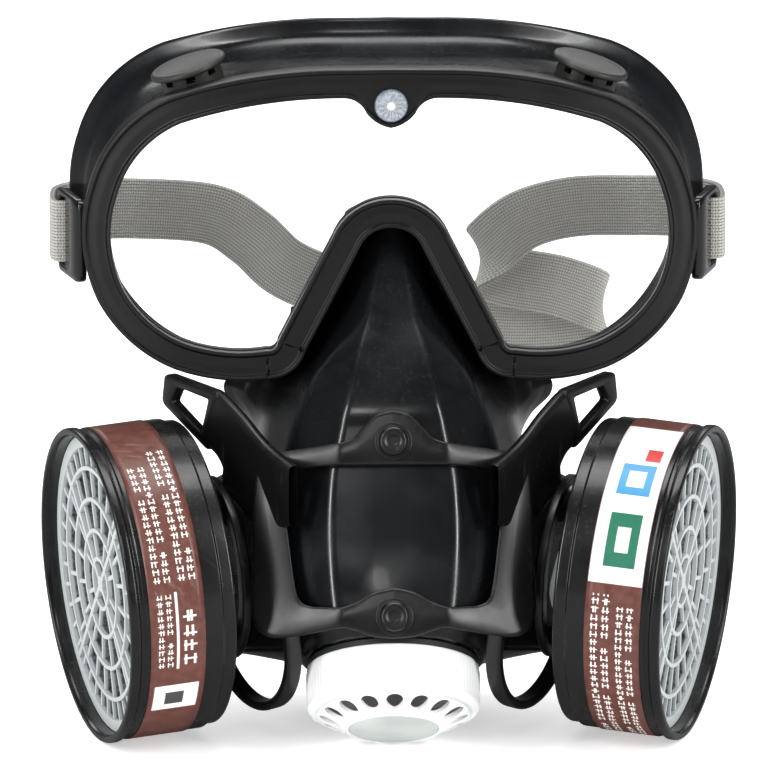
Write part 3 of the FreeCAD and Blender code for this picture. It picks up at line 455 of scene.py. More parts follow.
def felt():
    # matted fibres: one fine noise
    material, tree, shader, coords = newMaterial("filterFelt")
    fibres = noise(tree, coords, 1500.0, 5.0, 0.75)
    tint = mixColour(tree, ramp(tree, fibres, 0.3, 0.7), (0.035, 0.038, 0.04, 1), (0.13, 0.14, 0.145, 1))
    tree.links.new(tint, shader.inputs["Base Color"])
    tree.links.new(ramp(tree, fibres, 0.2, 0.8, 0.75, 1.0), shader.inputs["Roughness"])
    addBump(tree, shader, fibres, 1.0, 0.0003)
    return material


def screenMesh():
    # woven screen: two crossed waves, with painted shade darkening the gaps between threads
    material, tree, shader, coords = newMaterial("screenMesh")
    heights = []
    for direction in ("Y", "Z"):
        wave = node(tree, "TexWave", bands_direction=direction)
        wave.inputs["Scale"].default_value = 260.0
        tree.links.new(coords, wave.inputs["Vector"])
        heights.append(wave.outputs["Fac"])
    height = math2(tree, "MAXIMUM", *heights)
    # painted shade: dark where neither wave rises
    tree.links.new(mixColour(tree, height, (0.012, 0.012, 0.012, 1), (0.13, 0.135, 0.135, 1)),
                   shader.inputs["Base Color"])
    tree.links.new(ramp(tree, height, 0.0, 1.0, 0.8, 0.45), shader.inputs["Roughness"])
    addBump(tree, shader, height, 1.0, 0.0003)
    return material


finish["button_clear"] = buttonMaterial()
finish["carbon_granules"] = granules()
finish["filter_felt"] = felt()
finish["screen_plastic"] = screenMesh()


def knitGroup():
    # elastic webbing on UV in millimetres: ribs run along it, and each rib is a chain of slanted loops; Shade
    # is painted shade, dark in the knit's hollows, times a fibre tone
    group, given, out = makeGroup("elasticKnit", [("Coords", "NodeSocketVector", None),
                                                  ("Rib", "NodeSocketFloat", 0.85),
                                                  ("Loop", "NodeSocketFloat", 0.7)],
                                  [("Height", "NodeSocketFloat"), ("Shade", "NodeSocketFloat")])
    split = node(group, "SeparateXYZ")
    group.links.new(given.outputs["Coords"], split.inputs[0])
    across = math2(group, "DIVIDE", split.outputs["Y"], given.outputs["Rib"])
    along = math2(group, "DIVIDE", split.outputs["X"], given.outputs["Loop"])
    rib = math2(group, "ABSOLUTE", math2(group, "SINE", math2(group, "MULTIPLY", across, math.pi)))
    slant = math2(group, "ADD", along, math2(group, "MULTIPLY", math2(group, "PINGPONG", across, 1.0), 0.5))
    loops = math2(group, "ABSOLUTE", math2(group, "SINE", math2(group, "MULTIPLY", slant, math.pi)))
    height = math2(group, "MULTIPLY", math2(group, "POWER", rib, 0.6),
                   math2(group, "ADD", math2(group, "MULTIPLY", loops, 0.6), 0.4))
    fuzz = noise(group, given.outputs["Coords"], 3.0, 5.0, 0.7)
    group.links.new(math2(group, "ADD", height, math2(group, "MULTIPLY", fuzz, 0.35)), out.inputs["Height"])
    # painted shade: the knit's low places darker, with fibre tone from the fuzz
    group.links.new(math2(group, "MULTIPLY", height, ramp(group, fuzz, 0.2, 0.8, 0.75, 1.15)),
                    out.inputs["Shade"])
    return group


def webbing():
    # grey elastic: painted shade of the knit's hollows, bump and gloss from the knit group, on the strap's own
    # map
    material, tree, shader = newMaterial("strapWebbing")[:3]
    uv = node(tree, "UVMap", uv_map="strapLay")
    knit = node(tree, "Group", node_tree=knitGroup())
    tree.links.new(uv.outputs[0], knit.inputs["Coords"])
    # painted shade: dark where the knit is low
    tint = mixColour(tree, knit.outputs["Shade"], (0.13, 0.125, 0.115, 1), (0.5, 0.485, 0.45, 1))
    tree.links.new(tint, shader.inputs["Base Color"])
    tree.links.new(ramp(tree, knit.outputs["Shade"], 0.0, 1.0, 0.95, 0.75), shader.inputs["Roughness"])
    shader.inputs["Sheen Weight"].default_value = 0.25
    shader.inputs["Sheen Roughness"].default_value = 0.5
    addBump(tree, shader, knit.outputs["Height"], 1.0, 0.0004)
    return material


finish["strap_webbing"] = webbing()
print("materials ready:", len(finish))


# goggle: rim and skirt follow one window outline, which has a tab round the plug

goggle = {"bend": 240.0, "front": -38.0, "depth": 7.0, "band": 7.8, "rim": 1.1, "step": 0.85,
          "groove": 2.85,
          "lensFront": 2.45, "lensBack": 4.55, "lift": 4.0, "drop": 7.0,
          "faceBend": 150.0, "faceFront": -5.0}


def arcPoints(a, b, c, steps):
    # circle through three points: centre from the equal-distance equations, then equal turns from a to c
    a, b, c = (np.asarray(p, float) for p in (a, b, c))
    centre = np.linalg.solve(2 * np.array([b - a, c - a]), np.array([b @ b - a @ a, c @ c - a @ a]))
    angles = np.unwrap([math.atan2(*(p - centre)[::-1]) for p in (a, b, c)])
    turn = np.linspace(angles[0], angles[2], steps + 1)[1:, None]
    return centre + np.linalg.norm(a - centre) * np.concatenate([np.cos(turn), np.sin(turn)], 1)


def wholeLoop(half):
    # half runs from the middle line round the +X side to the middle line; the other side mirrors it
    return np.concatenate([half, half[-2:0:-1] * [-1, 1]])


def windowLoops():
    # half outlines from the brow to the nose, without and with the tab of the plug, then mirrored
    brow = np.linspace(0, 1, 25)[:, None] * [12.5, -0.2] + [0, 74.5]
    tabFirst = arcPoints((0, 66.2), (4.6, 68.2), (6.6, 70.2), 12)
    tab = np.concatenate([[(0, 66.2)], tabFirst, arcPoints((6.6, 70.2), (8.6, 72.9), (12.5, 74.3), 12)])
    rest = np.concatenate([
        arcPoints((12.5, 74.3), (36, 72.0), (56.5, 66.3), 34),
        arcPoints((56.5, 66.3), (67.6, 57.6), (73.8, 45.5), 26),
        arcPoints((73.8, 45.5), (75.6, 33.0), (72.4, 19.6), 24),
        arcPoints((72.4, 19.6), (65.6, 11.2), (56.0, 5.6), 20),
        arcPoints((56.0, 5.6), (46.0, 3.7), (33.6, 4.4), 22),
        arcPoints((33.6, 4.4), (31.6, 4.9), (30.6, 6.9), 14),
        np.linspace((30.6, 6.9), (15.8, 35.9), 30)[1:],
        arcPoints((15.8, 35.9), (9.0, 44.0), (0, 46.5), 24)])
    return wholeLoop(np.concatenate([brow, rest])), wholeLoop(np.concatenate([tab, rest]))


def outwardOf(loop):
    # the loop's direction of travel, turned a quarter, at length 1
    ahead = np.roll(loop, -1, 0) - np.roll(loop, 1, 0)
    normal = np.stack([-ahead[:, 1], ahead[:, 0]], 1)
    return normal / np.linalg.norm(normal, axis=1)[:, None]


window, windowTab = windowLoops()
outward = outwardOf(window)


def onBend(points, depth, front, bend):
    # y of an upright cylinder at x: centre - sqrt(radius^2 - x^2), the radius shrunk by the depth
    y = front + bend - np.sqrt((bend - depth) ** 2 - points[..., 0] ** 2)
    return np.stack([points[..., 0], y, points[..., 1]], -1)


def goggleRim():
    # section points are distances from the inner or the outer edge of the band, and a depth
    g = goggle
    inside, outside = windowTab, window + outward * g["band"]
    width = np.linalg.norm(outside - inside, axis=1)
    across = (outside - inside) / width[:, None]
    d, s, r = g["depth"], g["step"], g["rim"]
    section = [(0, 0, g["lensFront"]), (0, 0, 0), (0, r, 0), (0, r + 0.3, s), (0, 3.6, s - 0.12),
               (1, 3.6, s - 0.12),
               (1, r + 0.3, s), (1, r, 0), (1, 0, 0), (1, 0, d), (0, 0, d), (0, 0, g["lensBack"]),
               (0, g["groove"], g["lensBack"]), (0, g["groove"], g["lensFront"])]
    rows = []
    for edge, distance, depth in section:
        reach = distance if edge == 0 else width - distance
        rows.append(onBend(inside + across * np.broadcast_to(reach, width.shape)[:, None], depth,
                           g["front"], g["bend"]))
    cut = [0.1, 0.4, 0.35, 0.35, 1.2, 1.2, 0.35, 0.35, 0.45, 0.3, 0.3, 0.1, 0.05, 0.05]
    return softened(np.stack(rows, 1), np.array(cut)[None, :], 5)


def goggleSkirt():
    # section: offset from the window, share of the way back to the face, extra depth past the face
    g = goggle
    section = [(6.5, 0, 0), (6.4, 0.12, 0), (5.9, 0.4, 0), (5.8, 0.68, 0), (6.3, 0.86, 0), (7.3, 0.97, 0),
               (9.6, 1, 0),
               (11.4, 1, 0.4), (11.6, 1, 1.4), (10.9, 1, 2.4), (8.6, 1, 2.7), (6.2, 1, 2.7), (4.6, 1, 2.5),
               (4.0, 1, 1.4), (3.9, 0.92, 0), (3.7, 0.6, 0), (3.8, 0.3, 0), (4.3, 0, 0)]
    rows = []
    for offset, back, extra in section:
        flat = window + outward * offset
        sink = g["drop"] * back * np.clip(-outward[:, 1:], 0, 1)
        flat = flat + [0, g["lift"] * back ** 3] - sink * [0, 1]
        nearRim = onBend(flat, g["depth"] + 0.05, g["front"], g["bend"])
        nearFace = onBend(flat, extra, g["faceFront"], g["faceBend"])
        rows.append(nearRim * (1 - back) + nearFace * back)
    cut = np.array([0.3, 2.0, 3.0, 3.0, 2.5, 2.0, 0.9, 0.8, 0.8, 0.8, 0.8, 2.0, 1.0, 1.2, 2.0, 3.0, 3.0,
                    0.3])
    return softened(np.stack(rows, 1), cut[None, :], 4)


piece("goggle_rim", [(goggleRim(), True, True)], finish["goggle_rim"], "mask",
      ["goggle_frame"])
piece("goggle_soft_skirt", [(goggleSkirt(), True, True)], finish["skirt_rubber"], "mask",
      ["goggle_skirt"])
print("goggle done")


vent = {"across": 53.0, "y": -14.0, "z": 74.0, "lean": 18.0, "seat": 4.05, "top": 6.6, "radius": 10.6}


def ventCap(side):
    v = vent
    lean = math.radians(v["lean"])
    place = axisPlace((side * v["across"], v["y"], v["z"]), (side * math.sin(lean), -0.05, math.cos(lean)),
                      (0, -1, 0))
    profile = [(0, v["seat"]), (v["radius"] - 0.6, v["seat"]), (v["radius"], v["seat"] + 0.5),
               (v["radius"] - 0.1, v["top"] - 1.1), (v["radius"] - 0.9, v["top"] - 0.55),
               (v["radius"] - 1.6, v["top"] - 0.62),
               (v["radius"] - 3.0, v["top"] - 0.3), (0, v["top"])]
    return softened(turned(profile, place), np.array([0, 0.5, 0.4, 0.5, 0.35, 0.4, 1.5, 0])[None, :], 5,
                    False)


for name, side in sides.items():
    piece("vent_disc_" + name, [(ventCap(side), True, False)], finish["vent_plastic"], "mask",
          ["vent_cap_" + name])


clip = {"x": 83.6, "y": -9.0, "z": 30.0, "toe": 16.0, "back": 15.75, "front": -5.25, "half": 11.5,
        "thick": 2.4,
        "slot": (8.75, 12.75, 9.3), "corner": 3.0}


def clipPlate(side):
    # a slotted plate: slot * (1 - e) + outline * e, with e and the height carried round a rounded section
    c = clip
    toe = math.radians(c["toe"])
    along = np.array([side * math.sin(toe), math.cos(toe), 0])
    out = np.array([side * math.cos(toe), -math.sin(toe), 0])
    low, high, tall = c["slot"]
    slot = softened([(low, -tall), (high, -tall), (high, tall), (low, tall)], 1.0, 9)
    outline = softened([(c["front"], -c["half"]), (c["back"], -c["half"]), (c["back"], c["half"]),
                        (c["front"], c["half"])],
                       c["corner"], 9)
    edge = np.array([[0, 0.25], [0, 0.75], [0.04, 1], [0.5, 1.06], [0.97, 1], [1, 0.75], [1, 0.25],
                     [0.97, 0], [0.04, 0]])
    flat = slot[:, None] * (1 - edge[None, :, :1]) + outline[:, None] * edge[None, :, :1]
    return (np.array([c["x"] * side, c["y"], c["z"]]) + flat[..., :1] * along
            + flat[..., 1:] * np.array([0, 0, 1]) + edge[None, :, 1:] * c["thick"] * out)


for name, side in sides.items():
    piece("strap_clip_plate_" + name, [(clipPlate(side), True, True)], finish["clip_plastic"], "mask",
          ["strap_clip_" + name])


strap = {"width": 17.0, "thick": 1.5, "edge": 0.5, "steps": 520}
strapRoute = [
    (85.4, 1.7, 30.0), (88.9, 0.7, 30.0), (91.2, 2.2, 30.0), (91.8, 11.0, 30.0), (90.6, 24.0, 29.5),
    (84.0, 36.0, 28.5),
    (70.0, 43.0, 27.5), (52.0, 46.0, 26.5), (38.0, 46.5, 22.5), (28.5, 48.0, 14.0), (28.0, 52.5, 8.0),
    (36.0, 55.5, 4.5), (48.0, 56.5, 2.0), (58.5, 59.0, -2.5), (60.0, 64.0, -7.0), (52.0, 67.0, -9.5),
    (36.0, 66.0, -10.0), (18.0, 62.0, -7.0), (0.0, 57.0, -1.5), (-16.0, 53.0, 3.0), (-28.0, 50.0, 9.0),
    (-37.0, 47.0, 18.0), (-48.0, 45.0, 25.0), (-68.0, 41.5, 27.5), (-83.5, 35.0, 28.5),
    (-90.4, 23.5, 29.5), (-91.8, 11.0, 30.0), (-91.2, 2.2, 30.0), (-88.9, 0.7, 30.0), (-85.4, 1.7, 30.0)]


def headStrap():
    # a flat rounded section carried along the route
    s = strap
    path = smoothPath(strapRoute, s["steps"])
    h, t, e = s["width"] / 2, s["thick"] / 2, s["edge"]
    section = softened([(-h, -t), (-h / 2, -t), (0, -t), (h / 2, -t), (h, -t), (h, t), (h / 2, t), (0, t),
                        (-h / 2, t), (-h, t)], e, 3)
    grid = strip(path, section)
    run = np.concatenate([[0], np.cumsum(np.linalg.norm(np.diff(path, axis=0), axis=1))])
    lay = np.stack(np.broadcast_arrays(run[:, None], section[None, :, 0]), -1)
    return grid, lay


strapGrid, strapLay = headStrap()
band = piece("head_band", [(strapGrid, False, True)], finish["strap_webbing"], "mask",
             ["head_strap"],
             merge=0.0)
print("strap length, mm:", round(float(strapLay[-1, 0, 0])))
layer = band.data.uv_layers.new(name="strapLay")
corner = np.zeros(len(band.data.loops), int)
band.data.loops.foreach_get("vertex_index", corner)
layer.data.foreach_set("uv", strapLay.reshape(-1, 2)[corner].astype(np.float32).ravel())
print("strap done")


# half mask

cartridge = {"x": 54.1, "y": -42.0, "z": -55.2, "sweep": 16.6, "droop": 3.6}
outlet = {"y": -61.7, "z": -77.95, "dip": 58.0}


def cartridgePlace(side):
    c = cartridge
    sweep, droop = math.radians(c["sweep"]), math.radians(c["droop"])
    axis = (side * math.cos(sweep) * math.cos(droop), -math.sin(sweep) * math.cos(droop), -math.sin(droop))
    return axisPlace((side * c["x"], c["y"], c["z"]), axis)


def outletPlace():
    dip = math.radians(outlet["dip"])
    return axisPlace((0, outlet["y"], outlet["z"]), (0, -math.cos(dip), -math.sin(dip)))


# height: middle reach, flat half width, then x and reach of the ridge, flank and lip root, and lip tip x
facepiece = {
    38.0: (24, 1.6, 2.6, 22, 3.4, 14, 3.6, 5, 4.0),
    34.0: (28, 3.0, 5.0, 25, 6.4, 16, 6.8, 5, 7.3),
    24.0: (36, 4.8, 8.2, 31, 10.2, 19, 10.5, 6, 11.0),
    16.0: (42, 6.6, 10.8, 35, 13.6, 22, 14.2, 7, 15.0),
    8.0: (49, 9.4, 15.4, 38.5, 18.0, 25, 18.5, 8, 19.5),
    0.0: (55.5, 11.4, 20.3, 42.5, 22.6, 28, 23.5, 7, 26.0),
    -6.0: (59.5, 12.8, 23.4, 45, 26.5, 26, 28.5, 6, 36.0),
    -11.0: (61.3, 13.8, 25.4, 47, 29.5, 25, 33.0, 6, 44.0),
    -16.0: (63.2, 14.8, 27.2, 49, 32.0, 26, 35.0, 7, 44.5),
    -22.0: (65.4, 16.2, 28.6, 52, 34.5, 29, 36.0, 9, 39.0),
    -30.0: (68.4, 16.8, 29.6, 56, 37.5, 33, 36.5, 10, 35.8),
    -40.0: (72.0, 16.8, 30.2, 60.5, 40.0, 37, 40.5, 12, 38.5),
    -52.0: (76.4, 16.0, 29.8, 65, 41.5, 40, 43.0, 13, 41.5),
    -62.0: (78.5, 14.8, 28.0, 67, 40.5, 40, 42.0, 13, 40.5),
    -72.0: (72.0, 13.4, 25.0, 61, 36.5, 37, 38.5, 12, 37.0),
    -80.0: (58.0, 11.0, 20.5, 49, 30.0, 31, 32.5, 10, 31.5),
    -86.0: (42.0, 8.0, 15.0, 35, 22.5, 22, 25.0, 8, 24.0),
    -90.0: (24.0, 4.0, 8.0, 20, 12.5, 13, 14.5, 5, 14.0),
    -92.0: (8.0, 1.0, 2.0, 7, 3.2, 5, 3.6, 2, 3.6),
}
shell = {"wall": 2.4, "levels": 230, "socketCut": (-9.0, 2.0), "outletCut": (-9.0, 3.0),
         "portEnd": -2.9, "portRadius": 20.0, "portFall": 10.0,
         "outletEnd": -1.8,
         "outletRadius": 23.3, "outletFall": 5.0, "socketHole": 17.1, "outletHole": 21.5}


def swell(points, place, end, radius, fall):
    # points near an axis slide along it to a flat end; the pull fades over the fall outside the radius
    origin, axis = place[:3, 3], place[:3, 2]
    reach = (points - origin) @ axis
    away = np.linalg.norm(points - origin - reach[..., None] * axis, axis=-1)
    inFront = smoothStep(reach, -46.0, -30.0)
    pull = (1 - smoothStep(away, radius - 0.4, radius + fall)) * inFront
    return points + ((end - reach) * pull)[..., None] * axis


def facepieceSkin():
    # each level is a softened polygon of front, ridge, flank, lip root and lip tip; levels blend smoothly
    stops = np.array(sorted(facepiece))
    table = np.array([facepiece[z] for z in stops], float)
    both = smoothPath(np.column_stack([stops, table]), shell["levels"])
    z = both[:, 0]
    reach, flat, x2, y2, x3, y3, x4, y4, tip = both[:, 1:].T
    half = np.stack([np.stack(np.broadcast_arrays(x, -y, z), -1) for x, y in (
        (0 * flat, reach), (flat * 0.5, reach), (flat, reach - 0.4), (x2, y2), (x3, y3), (x4, y4),
        (tip, 0 * tip))], 1)
    cut = np.array([1.5, 3.0, 1.9, 3.6, 9.0, 6.0, 0.0])
    skin = softened(half, cut[None, :], 9, False)
    skin = np.concatenate([skin[:, :0:-1] * [-1, 1, 1], skin], 1)
    for side in sides.values():
        skin = swell(skin, cartridgePlace(side), shell["portEnd"], shell["portRadius"], shell["portFall"])
    return swell(skin, outletPlace(), shell["outletEnd"], shell["outletRadius"], shell["outletFall"])


def cutHole(obj, place, radius, start, end):
    # takes a plain round hole out of a piece, with a cylinder that is removed again
    tool = piece("cutter",
                 [(turned([(0, start), (radius, start), (radius, end), (0, end)], place, 96), True, False)],
                 finish["facepiece_rubber"], "mask")
    finishWith(obj, "BOOLEAN", object=tool, operation="DIFFERENCE", solver="EXACT")
    bpy.data.objects.remove(tool)


def makeFacepiece():
    skin = facepieceSkin()
    obj = piece("facepiece_cup", [(skin, False, False)], finish["facepiece_rubber"], "mask",
                ["facepiece"])
    middle = obj.data.polygons[len(obj.data.polygons) // 2]
    if middle.normal.y > 0:
        obj.data.flip_normals()
    finishWith(obj, "SOLIDIFY", thickness=shell["wall"] * mm, offset=-1.0, use_even_offset=False)
    for side in sides.values():
        cutHole(obj, cartridgePlace(side), shell["socketHole"], *shell["socketCut"])
    cutHole(obj, outletPlace(), shell["outletHole"], *shell["outletCut"])
    obj.data.shade_smooth()
    return obj


makeFacepiece()
print("facepiece done")


def boxMask(tree, u, v, left, right, low, high, soft=0.15):
    # 1 inside a rectangle of the label, 0 outside; the edges are softened a little
    inside = math2(tree, "MULTIPLY", ramp(tree, u, left - soft, left + soft),
                   ramp(tree, u, right - soft, right + soft, 1.0, 0.0))
    up = math2(tree, "MULTIPLY", ramp(tree, v, low - soft, low + soft),
               ramp(tree, v, high - soft, high + soft, 1.0, 0.0))
    return math2(tree, "MULTIPLY", inside, up)


def printGroup():
    # rows of square marks: each cell holds one upright and two level strokes whose places are random
    inputs = [(name, "NodeSocketFloat", start) for name, start in (("U", 0.0), ("V", 0.0), ("Row", 4.0))]
    group, given, out = makeGroup("printedMarks", inputs, [("Mask", "NodeSocketFloat")])
    wide = math2(group, "MULTIPLY", given.outputs["Row"], 0.78)
    across = math2(group, "DIVIDE", given.outputs["U"], wide)
    up = math2(group, "DIVIDE", given.outputs["V"], given.outputs["Row"])
    cell = node(group, "CombineXYZ")
    group.links.new(math2(group, "FLOOR", across), cell.inputs[0])
    group.links.new(math2(group, "FLOOR", up), cell.inputs[1])
    chance = node(group, "TexWhiteNoise", noise_dimensions="3D")
    group.links.new(cell.outputs[0], chance.inputs["Vector"])
    pick = node(group, "SeparateXYZ")
    group.links.new(chance.outputs["Color"], pick.inputs[0])
    x, y = math2(group, "FRACT", across), math2(group, "FRACT", up)
    strokes = []
    for place, share, start, reach in ((x, "X", 0.25, 0.5), (y, "Y", 0.24, 0.2), (y, "Z", 0.56, 0.2)):
        middle = math2(group, "ADD", math2(group, "MULTIPLY", pick.outputs[share], reach), start)
        off = math2(group, "ABSOLUTE", math2(group, "SUBTRACT", place, middle))
        strokes.append(math2(group, "LESS_THAN", off, 0.065))
    marks = math2(group, "MAXIMUM", math2(group, "MAXIMUM", strokes[0], strokes[1]), strokes[2])
    inner = math2(group, "MULTIPLY", ramp(group, x, 0.12, 0.15), ramp(group, x, 0.85, 0.88, 1.0, 0.0))
    level = math2(group, "MULTIPLY", ramp(group, y, 0.14, 0.17), ramp(group, y, 0.83, 0.86, 1.0, 0.0))
    kept = math2(group, "GREATER_THAN", chance.outputs["Value"], 0.1)
    mask = math2(group, "MULTIPLY", math2(group, "MULTIPLY", marks, inner),
                 math2(group, "MULTIPLY", level, kept))
    group.links.new(mask, out.inputs["Mask"])
    return group


prints = printGroup()
labelPrint = {  # millimetres round the can from its front, and across the band; then the colour
    "left": {"text": [(9.0, 50.0, 1.2, 7.0, 2.9), (9.0, 44.0, 8.2, 13.8, 2.8), (-15.0, 6.0, 1.6, 7.0, 5.4),
                      (-15.0, 6.0, 8.6, 13.6, 2.5)],
             "blocks": [((-15.5, 6.5, 7.4, 8.1), (0.75, 0.72, 0.68)),
                        ((-30.5, -21.0, 1.5, 13.8), (0.74, 0.72, 0.69)),
                        ((-28.4, -23.6, 5.4, 10.6), (0.05, 0.05, 0.05))]},
    "right": {"text": [(-52.0, 5.0, 1.2, 7.2, 3.0), (-52.0, 2.0, 8.2, 13.8, 2.8)],
              "blocks": [((8.0, 62.0, 0.2, 15.1), (0.72, 0.73, 0.73)),
                         ((33.0, 43.5, 3.4, 12.6), (0.03, 0.22, 0.42)),
                         ((12.5, 27.5, 3.6, 12.4), (0.012, 0.13, 0.075)),
                         ((45.0, 50.0, 8.6, 12.8), (0.45, 0.03, 0.03)),
                         ((35.6, 41.0, 5.6, 10.4), (0.62, 0.68, 0.72)),
                         ((16.5, 23.5, 6.2, 9.9), (0.6, 0.66, 0.62))]},
}


def labelMaterial(name):
    # brown paper band with printed blocks and dashes, on a UV map in millimetres
    material, tree, shader, coords = newMaterial("labelPaper_" + name)
    uv = node(tree, "UVMap", uv_map="labelLay")
    split = node(tree, "SeparateXYZ")
    tree.links.new(uv.outputs[0], split.inputs[0])
    u, v = split.outputs["X"], split.outputs["Y"]
    paper = noise(tree, coords, 400.0, 4.0)
    tint = mixColour(tree, ramp(tree, paper, 0.3, 0.7), (0.088, 0.028, 0.02, 1), (0.125, 0.042, 0.031, 1))
    for area, colour in labelPrint[name]["blocks"]:
        tint = mixColour(tree, boxMask(tree, u, v, *area), tint, (*colour, 1))
    for left, right, low, high, row in labelPrint[name]["text"]:
        rows = node(tree, "Group", node_tree=prints)
        tree.links.new(math2(tree, "SUBTRACT", u, left), rows.inputs["U"])
        tree.links.new(math2(tree, "SUBTRACT", v, low), rows.inputs["V"])
        rows.inputs["Row"].default_value = row
        mask = math2(tree, "MULTIPLY", rows.outputs["Mask"], boxMask(tree, u, v, left, right, low, high))
        tint = mixColour(tree, mask, tint, (0.7, 0.66, 0.62, 1))
    lines = useGroup(tree, scuffs, coords, Amount=0.5)
    tint = mixColour(tree, lines.outputs["Mask"], tint, (0.25, 0.16, 0.13, 1))
    tree.links.new(tint, shader.inputs["Base Color"])
    tree.links.new(ramp(tree, paper, 0.2, 0.8, 0.28, 0.42), shader.inputs["Roughness"])
    addBump(tree, shader, paper, 0.3, 0.00005)
    return material


labels = {name: labelMaterial(name) for name in sides}
finish["label_paper"] = labels["left"]


# filter cartridges, each about its own axis, heights from the back of the can

can = {"radius": 42.3, "foot": 41.5, "footTop": 3.6, "bead": 43.0, "beadFrom": 27.4, "length": 30.0,
       "wall": 1.6,
       "back": 2.0, "spigot": 14.0, "bore": 11.6, "spigotLength": 10.0, "labelFrom": 9.2, "labelTo": 24.5,
       "lift": 0.27}


def canShell(side):
    c = can
    profile = [(c["bore"], -c["spigotLength"]), (c["spigot"], -c["spigotLength"]), (c["spigot"], -0.3),
               (c["spigot"] + 1.2, 0), (c["foot"], 0), (c["foot"], c["footTop"]),
               (c["radius"], c["footTop"] + 0.5),
               (c["radius"], 25.6), (c["radius"] - 0.35, 26.0), (c["radius"] - 0.35, 26.9),
               (c["bead"], c["beadFrom"] + 0.2),
               (c["bead"], c["length"]), (c["radius"] - c["wall"] + 0.5, c["length"]),
               (c["radius"] - c["wall"], c["length"] - 1.2),
               (c["radius"] - c["wall"], c["back"]), (c["bore"], c["back"])]
    cut = np.array([0.3, 0.4, 0.3, 0.3, 0.9, 0.25, 0.25, 0.2, 0.2, 0.2, 0.5, 0.8, 0.4, 0.4, 0.4, 0.3])
    rows = turned(profile, np.eye(4), 180)
    return placed(cartridgePlace(side), softened(rows, cut[None, :], 5))


def canLabel(side):
    # a thin sleeve that runs nearly round the can; u is the distance round it from the front, v across it
    c = can
    steps = 220
    round_ = np.linspace(-0.985 * np.pi, 0.985 * np.pi, steps)
    angle = round_ if side < 0 else np.pi - round_
    v = np.concatenate([np.linspace(0, 1, 9), np.linspace(1, 0, 9)])
    rise = np.concatenate([np.full(9, c["lift"]), np.full(9, 0.02)])
    r = c["radius"] + rise[None, :] * np.ones((steps, 1))
    h = c["labelFrom"] + (c["labelTo"] - c["labelFrom"]) * v[None, :] * np.ones((steps, 1))
    grid = np.stack([r * np.cos(angle)[:, None], r * np.sin(angle)[:, None], h], -1)
    lay = np.stack([round_[:, None] * c["radius"] * np.ones((1, 18)), h - c["labelFrom"]], -1)
    return placed(cartridgePlace(side), grid), lay


def addLay(obj, lay, name):
    layer = obj.data.uv_layers.new(name=name)
    corner = np.zeros(len(obj.data.loops), int)
    obj.data.loops.foreach_get("vertex_index", corner)
    layer.data.foreach_set("uv", lay.reshape(-1, 2)[corner].astype(np.float32).ravel())


for name, side in sides.items():
    body = "cartridge_" + name
    piece("can_" + name, [(canShell(side), True, True)], finish["can_plastic"], body,
          ["cartridge_shell_" + name])
    labelGrid, labelLay = canLabel(side)
    sleeve = piece("label_band_" + name, [(labelGrid, False, True)], labels[name], body,
                   ["cartridge_label_" + name], merge=0.0)
    addLay(sleeve, labelLay, "labelLay")
print("cartridges done")


# white outlet cap

cap = {"radius": 23.25, "side": 11.5, "face": 12.65, "length": 17.0, "wall": 1.6, "ribs": 96,
       "ribDepth": 0.22,
       "holes": 16, "holeRing": 17.05, "holeAcross": 2.35, "holeOut": 2.95, "disc": 12.0,
       "coneFoot": (20.7, 12.82), "coneTop": (13.4, 16.75)}


def capRibs(a, r, h):
    # fine ribs down the side, faded out before both ends
    fade = smoothStep(h, 0.8, 1.6) * (1 - smoothStep(h, 8.6, 10.0)) * (r > cap["radius"] - 0.05)
    return cap["ribDepth"] * fade * (0.5 + 0.5 * np.cos(cap["ribs"] * a))


def capBody():
    # profile of the outside: straight side, rounded rim, then the slope to the hole ring
    c = cap
    outer = np.concatenate([[(c["radius"], 0)],
                            [(c["radius"], h) for h in (0.5, 1.0, 1.6, 4.0, 7.0, 8.6, 9.4, 10.0)]])
    rim = softened([(c["radius"], 10.0), (c["radius"], c["side"]), (c["radius"] - 2.4, c["side"] + 1.25)],
                   [0, 1.5, 0], 8, False)[8:16]
    return np.concatenate([outer, rim, [c["coneFoot"]]])


def capSide():
    # outer wall, then the hole ring's outer edge; the inner wall closes it from below
    c = cap
    outside = capBody()
    bore = c["radius"] - c["wall"]
    inside = np.array([(c["coneFoot"][0], 11.2), (bore, 10.4), (bore, 0)])
    return turned(np.concatenate([outside, inside]), outletPlace(), c["ribs"] * 6, capRibs)


def capCone():
    # a ring of sectors: each grid runs from a round hole out to its sector's border, along the cone
    c = cap
    inner, top = c["coneTop"]
    outer, foot = c["coneFoot"]
    half = np.pi / c["holes"]
    t = np.linspace(-1, 1, 11)[:-1]
    border = np.concatenate([np.stack([1 + 0 * t, t], 1), np.stack([-t, 1 + 0 * t], 1),
                             np.stack([-1 + 0 * t, -t], 1), np.stack([t, -1 + 0 * t], 1)])
    turn = np.arctan2(border[:, 1], border[:, 0])
    middle = (inner + outer) / 2
    edge = np.stack([middle + border[:, 0] * (outer - inner) / 2, border[:, 1] * half], 1)
    hole = np.stack([c["holeRing"] + c["holeOut"] * np.cos(turn),
                     c["holeAcross"] * np.sin(turn) / c["holeRing"]], 1)
    share = np.array([1.0, 0.75, 0.5, 0.25, 0.12, 0.04, 0.0, 0.0, 0.0])[:, None, None]
    drop = np.array([0, 0, 0, 0, 0, 0.02, 0.14, 0.7, 1.6])
    flat = hole[None] + (edge - hole)[None] * share
    around = np.arange(c["holes"]) * 2 * half
    r = np.broadcast_to(flat[..., 0], (c["holes"],) + flat.shape[:2])
    a = flat[..., 1] + around[:, None, None]
    h = foot + (outer - r) * (top - foot) / (outer - inner) - drop[:, None]
    points = placed(outletPlace(), np.stack([r * np.cos(a), r * np.sin(a), h], -1))
    return [(sector, False, True) for sector in points]


